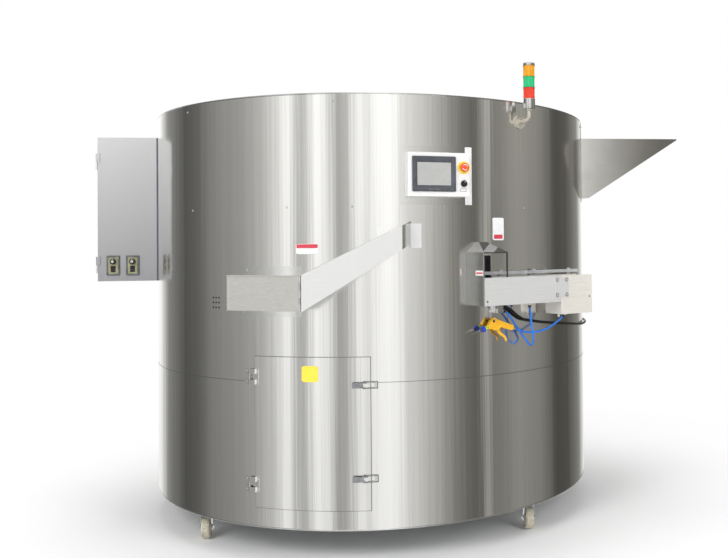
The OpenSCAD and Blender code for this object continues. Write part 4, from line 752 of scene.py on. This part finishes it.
def controller(side, x):
    """A speed controller, 4 mm out on the cabinet's door, with its lower left corner at x."""
    face = Matrix.Translation((x, CABINET_FRONT - 0.004, 1.173)) @ OUTWARD
    w, h = 0.062, 0.097
    rings = nested([(w, h, 0.003, -0.0036), (w, h, 0.003, 0.0006), (w - 0.0016, h - 0.0016, 0.003, 0.0016),
                    (w - 0.0155, h - 0.0155, 0.002, 0.0016), (w - 0.017, h - 0.017, 0.002, 0.0004)],
                   at=(w / 2, h / 2))
    piece(f"controller_frame_{side}", loft(rings, caps=False), face, CONTROL, "cabinet_door")
    left, low, right, high = 0.0197, 0.0155, 0.0423, 0.0465    # opening for the rocker
    edge = 0.0084
    fields = ((edge, high, w - edge, h - edge), (edge, edge, w - edge, low), (edge, low, left, high),
              (right, low, w - edge, high))
    for k, (a, b, c, d) in enumerate(fields):
        plate = prism([(a, b), (c, b), (c, d), (a, d)], 0.00002, 0.00022)
        piece(f"controller_face_{side}_{k + 1}", plate, face, OLIVE, "cabinet_door", smooth=False)
    knob = (w / 2, h * 0.7)
    for k in range(11):
        a = math.radians(225 - 27 * k)
        d, n = Vector((math.cos(a), math.sin(a))), Vector((-math.sin(a), math.cos(a)))
        corners = [tuple(Vector(knob) + d * r + n * s * 0.0005)
                   for r, s in ((0.0158, -1), (0.0192, -1), (0.0192, 1), (0.0158, 1))]
        piece(f"dial_tick_{side}_{k + 1}", prism(corners, 0.00022, 0.0004), face, BLACK, "cabinet_door",
              smooth=False)
    body = f"speed_knob_{side}"
    shell = lathe([(0.0139, 0.0004), (0.0143, 0.0012), (0.0140, 0.0105), (0.0128, 0.0138), (0.0095, 0.0143)],
                  108, at=knob, dents=18, dent=0.0009)
    shell = piece(f"knob_shell_{side}", shell, face, BLACK, body)
    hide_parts(f"speed_knob_{side}")
    stem = lathe([(0.0039, -0.0078), (0.0039, 0.0006)], 24, at=knob)
    piece(f"knob_stem_{side}", stem, face, BRIGHT, body)
    # A bright metal cap in the knob's middle, put there as a painted highlight on the black knob.
    cap = lathe([(0.0070, 0.0138), (0.0068, 0.0150), (0.0056, 0.0156), (0.0005, 0.0158)], 40, at=knob)
    piece(f"knob_highlight_cap_{side}", cap, face, BRIGHT, body)
    mark = prism(rounded(0.0016, 0.0046, 0.0006, at=(knob[0], knob[1] + 0.0112)), 0.0132, 0.0146)
    piece(f"knob_mark_{side}", mark, face, WHITE, body)


controller("left", -1.315)
controller("right", -1.223)
# The door's right edge is a dark strip: painted shade where the door's side lies in shadow.
door_edge_shade_strip = prism([(-0.0035, 0), (0.0006, 0), (0.0006, CABINET_HEIGHT), (-0.0035, CABINET_HEIGHT)],
                  -0.0025, 0.0004)
piece("cabinet_door_edge_shade", door_edge_shade_strip,
      Matrix.Translation((CABINET_RIGHT, CABINET_FRONT, CABINET_LOW)) @ OUTWARD, DARK_LILAC_AND_EDGE_SHADE, "cabinet_door", 0.0004)


# ---------------------------------------------------------------- tower light

def tower():
    """The tower light's lenses, the joints between them, and the skins of its base, cap and nut."""
    place = turned(TOWER_TURN) @ Matrix.Translation((0, -(R + TOWER_OUT), 0))
    low, step = 1.948, 0.048    # foot of the lowest lens, height of a lens
    lenses = (("lens_red", LENS_RED), ("lens_green", LENS_GREEN), ("lens_amber", LENS_AMBER))
    for k, (name, material) in enumerate(lenses):
        z = low + k * step + (k + 1) * 0.0003
        profile = [(0.0046, z), (0.0254, z), (0.0262, z + 0.0012), (0.0262, z + 0.0036), (0.0248, z + 0.0048),
                   (0.0248, z + 0.0425), (0.0262, z + 0.0437), (0.0262, z + 0.0464), (0.0254, z + 0.0476),
                   (0.0046, z + 0.0476)]
        shell = piece(f"tower_{name}", lathe(profile, 144, dents=36, dent=0.0006), place, material, "frame")
        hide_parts(name)
    for k in (1, 2):
        z = low + k * step
        ring = lathe([(0.0256, z - 0.0006), (0.0263, z - 0.0002), (0.0263, z + 0.0008),
                      (0.0256, z + 0.0012)], 72)
        piece(f"tower_joint_{k}", ring, place, RUBBER, "frame")
    base = lathe([(0.0262, 1.9045), (0.0267, 1.906), (0.0267, 1.9445), (0.0262, 1.9462)], 72)
    piece("tower_base_skin", base, place, BRIGHT, "frame")
    cap = lathe([(0.0262, 2.0936), (0.0267, 2.0946), (0.0267, 2.1010), (0.0240, 2.1056), (0.0160, 2.1074),
                 (0.0020, 2.1080)], 72)
    piece("tower_cap_skin", cap, place, BRIGHT, "frame")
    nut = lathe([(0.0135, 1.8965), (0.0145, 1.8975), (0.0145, 1.9040), (0.0135, 1.9048)], 6)
    piece("tower_nut", nut, place, TUBE, "frame", 0.0008)


tower()


# ---------------------------------------------------------------- air gun

def in_mm(points):
    return [(x * MM, y * MM) for x, y in points]


def lengthwise(place, x, y, angle):
    """A place on the gun, whose w runs along its plane at the given angle."""
    return (place @ Matrix.Translation((x, y, 0)) @ Matrix.Rotation(math.radians(angle), 4, "Z")
            @ Matrix.Rotation(math.radians(90), 4, "Y"))


def gun():
    """The air gun, drawn in its own plane: u runs from the eye to the inlet, and w away from the casing."""
    place = at_casing(GUN_TURN, GUN_Z) @ Matrix.Translation((0, 0, GUN_OUT))
    outline = [(-26, -14), (-16, 2), (-8, 13), (-2, 17.5), (5, 19), (12, 15.5), (20, 10.5), (60, -4),
               (99, -17.5), (103, -21), (104, -27), (101, -37), (97, -40.5), (91, -40.5), (60, -31),
               (38, -24), (33, -28), (27, -33), (14, -37.5), (4, -36), (-4, -31), (-22, -30), (-26, -24)]
    shell = piece("gun_shell", prism(in_mm(outline), -0.0098, 0.0098), place, GUN, "frame", 0.0052, 4)
    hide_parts("gun_body")
    eye = lathe([(0.0028, -0.0101), (0.0056, -0.0103), (0.0062, -0.0099), (0.0062, 0.0099), (0.0056, 0.0103),
                 (0.0028, 0.0101)], 32, at=(0, 0.004))
    piece("gun_eye", eye, place, BLACK, "frame")
    for k in range(5):
        rib = in_mm([(44 + 9 * k, -24.5 - 3.1 * k), (47.5 + 9 * k, -25.8 - 3.1 * k),
                     (50.5 + 9 * k, -6.0 - 3.2 * k), (47 + 9 * k, -4.8 - 3.2 * k)])
        piece(f"gun_rib_{k + 1}", prism(rib, -0.0104, 0.0104), place, GUN, "frame", 0.0009)
    head = lengthwise(place, -0.024, -0.021, 197)
    collar = lathe([(0.0075, -0.004), (0.0094, 0.0), (0.0094, 0.016), (0.0082, 0.019)], 40,
                   dents=12, dent=0.0006)
    piece("gun_collar", collar, head, LIME, "frame")
    ring = lathe([(0.0086, 0.018), (0.0124, 0.0198), (0.0132, 0.022), (0.0132, 0.029), (0.0120, 0.0318),
                  (0.0086, 0.033)], 48)
    piece("gun_ring", ring, head, BLUE, "frame")
    star = lathe([(0.0062, 0.0325), (0.0098, 0.034), (0.0104, 0.037), (0.0098, 0.0415), (0.0050, 0.0435)], 60,
                 dents=6, dent=0.0034)
    piece("gun_star", star, head, DARK_LILAC_AND_EDGE_SHADE, "frame")
    nozzle = lathe([(0.0036, 0.0425), (0.0034, 0.047), (0.0019, 0.050), (0.0018, 0.0838), (0.0011, 0.0846)], 24)
    piece("gun_nozzle", nozzle, head, BRIGHT, "frame")
    tail = lengthwise(place, 0.0985, -0.0288, -19)
    inlet = lathe([(0.0072, -0.002), (0.0078, 0.0), (0.0078, 0.008), (0.0062, 0.0105), (0.0060, 0.0125)], 24)
    piece("gun_inlet", inlet, tail, BRIGHT, "frame")
    lever = [(20.5, -26.5), (28, -26.5), (31, -33), (37, -42), (44, -49), (52, -54.5), (61, -61), (67, -68),
             (70.5, -77), (71.5, -85.5), (68, -88.5), (64.5, -87), (62, -79), (58, -72.5), (50, -66.5),
             (42, -61.5), (33, -56), (26, -49), (20.5, -42), (18.5, -37)]
    trigger = piece("gun_lever", prism(in_mm(lever), -0.0034, 0.0034), place, GUN, "gun_trigger", 0.0022, 3)
    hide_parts("gun_trigger")


gun()


# ---------------------------------------------------------------- hose and cable ends

def sleeve(name, route, radius, long, material):
    """A short turned collar round the start of a route, where the cord enters its fitting."""
    start, way = Vector(route[0]), (Vector(route[1]) - Vector(route[0])).normalized()
    place = Matrix.Translation(start) @ way.to_track_quat("Z", "Y").to_matrix().to_4x4()
    profile = [(radius * 0.8, 0.0), (radius, 0.0008), (radius, long * 0.6), (radius * 0.9, long * 0.8),
               (radius * 0.78, long)]
    piece(name, lathe(profile, 32), place, material, "frame")


sleeve("hose_loop_collar_low", HOSE_LOOP, 0.0072, 0.010, BLACK)
sleeve("hose_loop_collar_high", HOSE_LOOP[::-1], 0.0072, 0.010, BLACK)
sleeve("hose_gun_collar_far", HOSE_GUN, 0.0072, 0.010, BLACK)
sleeve("hose_gun_collar_near", HOSE_GUN[::-1], 0.0072, 0.012, BRIGHT)
sleeve("cable_gland_near", CABLE, 0.0088, 0.022, BLACK)
sleeve("cable_gland_far", CABLE[::-1], 0.0088, 0.022, BLACK)


# ---------------------------------------------------------------- floor, world and lamps

PURE_WHITE = (1, 1, 1)
MATT_LEVEL = 0.62          # what the world gives to matt surfaces
FADE_FROM, FADE_TO = 1.3, 2.9    # distances from the middle between which the floor turns white


def make_floor():
    """A pale floor that takes the shadow. It fades to white further out, and mirrors look through it."""
    bm = bmesh.new()
    bmesh.ops.create_grid(bm, x_segments=8, y_segments=8, size=14)
    mesh = bpy.data.meshes.new("floor")
    bm.to_mesh(mesh)
    bm.free()
    floor = bpy.data.objects.new("floor", mesh)
    scene.collection.objects.link(floor)
    p = Paint("floor_pale")
    p.set(Base_Color=(0.9, 0.9, 0.9), Roughness=0.9, Specular_IOR_Level=0.1)
    fade = p.map_range(p.vector("LENGTH", p.coords), FADE_FROM, FADE_TO, 0.0, 1.0)
    paths = p.node("ShaderNodeLightPath").outputs
    white = p.node("ShaderNodeEmission", {"Color": PURE_WHITE}).outputs[0]
    clear = p.node("ShaderNodeBsdfTransparent").outputs[0]
    near = p.mix_shaders(p.maths("MULTIPLY", fade, paths["Is Camera Ray"]), p.bsdf.outputs[0], white)
    surface = p.mix_shaders(paths["Is Glossy Ray"], near, clear)
    p.put(p.tree.nodes["Material Output"].inputs["Surface"], surface)
    mesh.materials.append(p.mat)


def make_world():
    """White for the camera, an even level for matt surfaces, and a studio for metal and glass: bright soft
    windows in front, dark sides and a white backdrop behind. A stop is a turn from the front and a level."""
    world = bpy.data.worlds.new("studio")
    scene.world = world
    world.use_nodes = True
    world.node_tree.nodes.clear()
    w = Nodes(world.node_tree)
    way = w.node("ShaderNodeTexCoord").outputs["Generated"]
    turn = w.maths("ARCTAN2", w.axis(way, "X"), w.maths("MULTIPLY", w.axis(way, "Y"), -1))
    stops = [(-180, 1.0), (-150, 0.95), (-133, 0.24), (-112, 0.08), (-100, 0.12), (-90, 0.21), (-70, 0.3),
             (-60, 0.42), (-51, 0.62), (-44, 1.0), (-37, 0.36), (-30, 1.0), (-26, 0.9), (-19, 0.34),
             (-13, 0.5), (-7, 1.0), (-4, 0.7), (1, 1.0), (9, 1.0), (15, 0.68), (22, 0.58), (36, 0.31),
             (44, 0.16), (54, 0.11), (58.5, 0.44), (62, 0.18), (78, 0.28), (96, 0.22), (110, 0.07),
             (124, 0.09), (142, 0.25), (160, 1.0)]
    bands = []
    for at, c in stops:
        warm = 0.13 if at > 30 else 0.04    # the darker a band, the warmer it is
        colour = (c, c * (1 - 0.25 * warm * (1 - c)), c * (1 - warm * (1 - c) - 0.01))
        bands.append(((at + 180) / 360, colour))
    studio = w.ramp(w.map_range(turn, -math.pi, math.pi, 0, 1), bands)
    lift = w.map_range(w.axis(way, "Z"), -0.25, 0.25, 0.9, 1.18)    # brighter higher up
    shiny, matt, white = (w.node("ShaderNodeBackground", {"Color": colour, "Strength": strength}).outputs[0]
                          for colour, strength in ((studio, lift), (PURE_WHITE, MATT_LEVEL), (PURE_WHITE, 1)))
    paths = w.node("ShaderNodeLightPath").outputs
    sharp = w.maths("MAXIMUM", paths["Is Glossy Ray"], paths["Is Transmission Ray"])
    seen = w.mix_shaders(paths["Is Camera Ray"], w.mix_shaders(sharp, matt, shiny), white)
    w.node("ShaderNodeOutputWorld", {"Surface": seen})


def make_lamp(name, place, size, power):
    """A round lamp that looks at the middle of the object. Metal doesn't show it."""
    data = bpy.data.lights.new(name, "AREA")
    data.shape = "DISK"
    data.size = size
    data.energy = power
    lamp = bpy.data.objects.new(name, data)
    lamp.location = place
    lamp.rotation_mode = "QUATERNION"
    lamp.rotation_quaternion = (Vector((0, 0, 1.0)) - Vector(place)).to_track_quat("-Z", "Y")
    lamp.visible_glossy = False
    scene.collection.objects.link(lamp)


make_floor()
make_world()
make_lamp("lamp_left", (-3.6, -5.2, 4.2), 3.0, 190)
make_lamp("lamp_right", (3.8, -4.8, 3.4), 3.0, 110)
make_lamp("lamp_top", (0, 0.5, 6.0), 4.0, 190)

scene.view_settings.view_transform = "Standard"
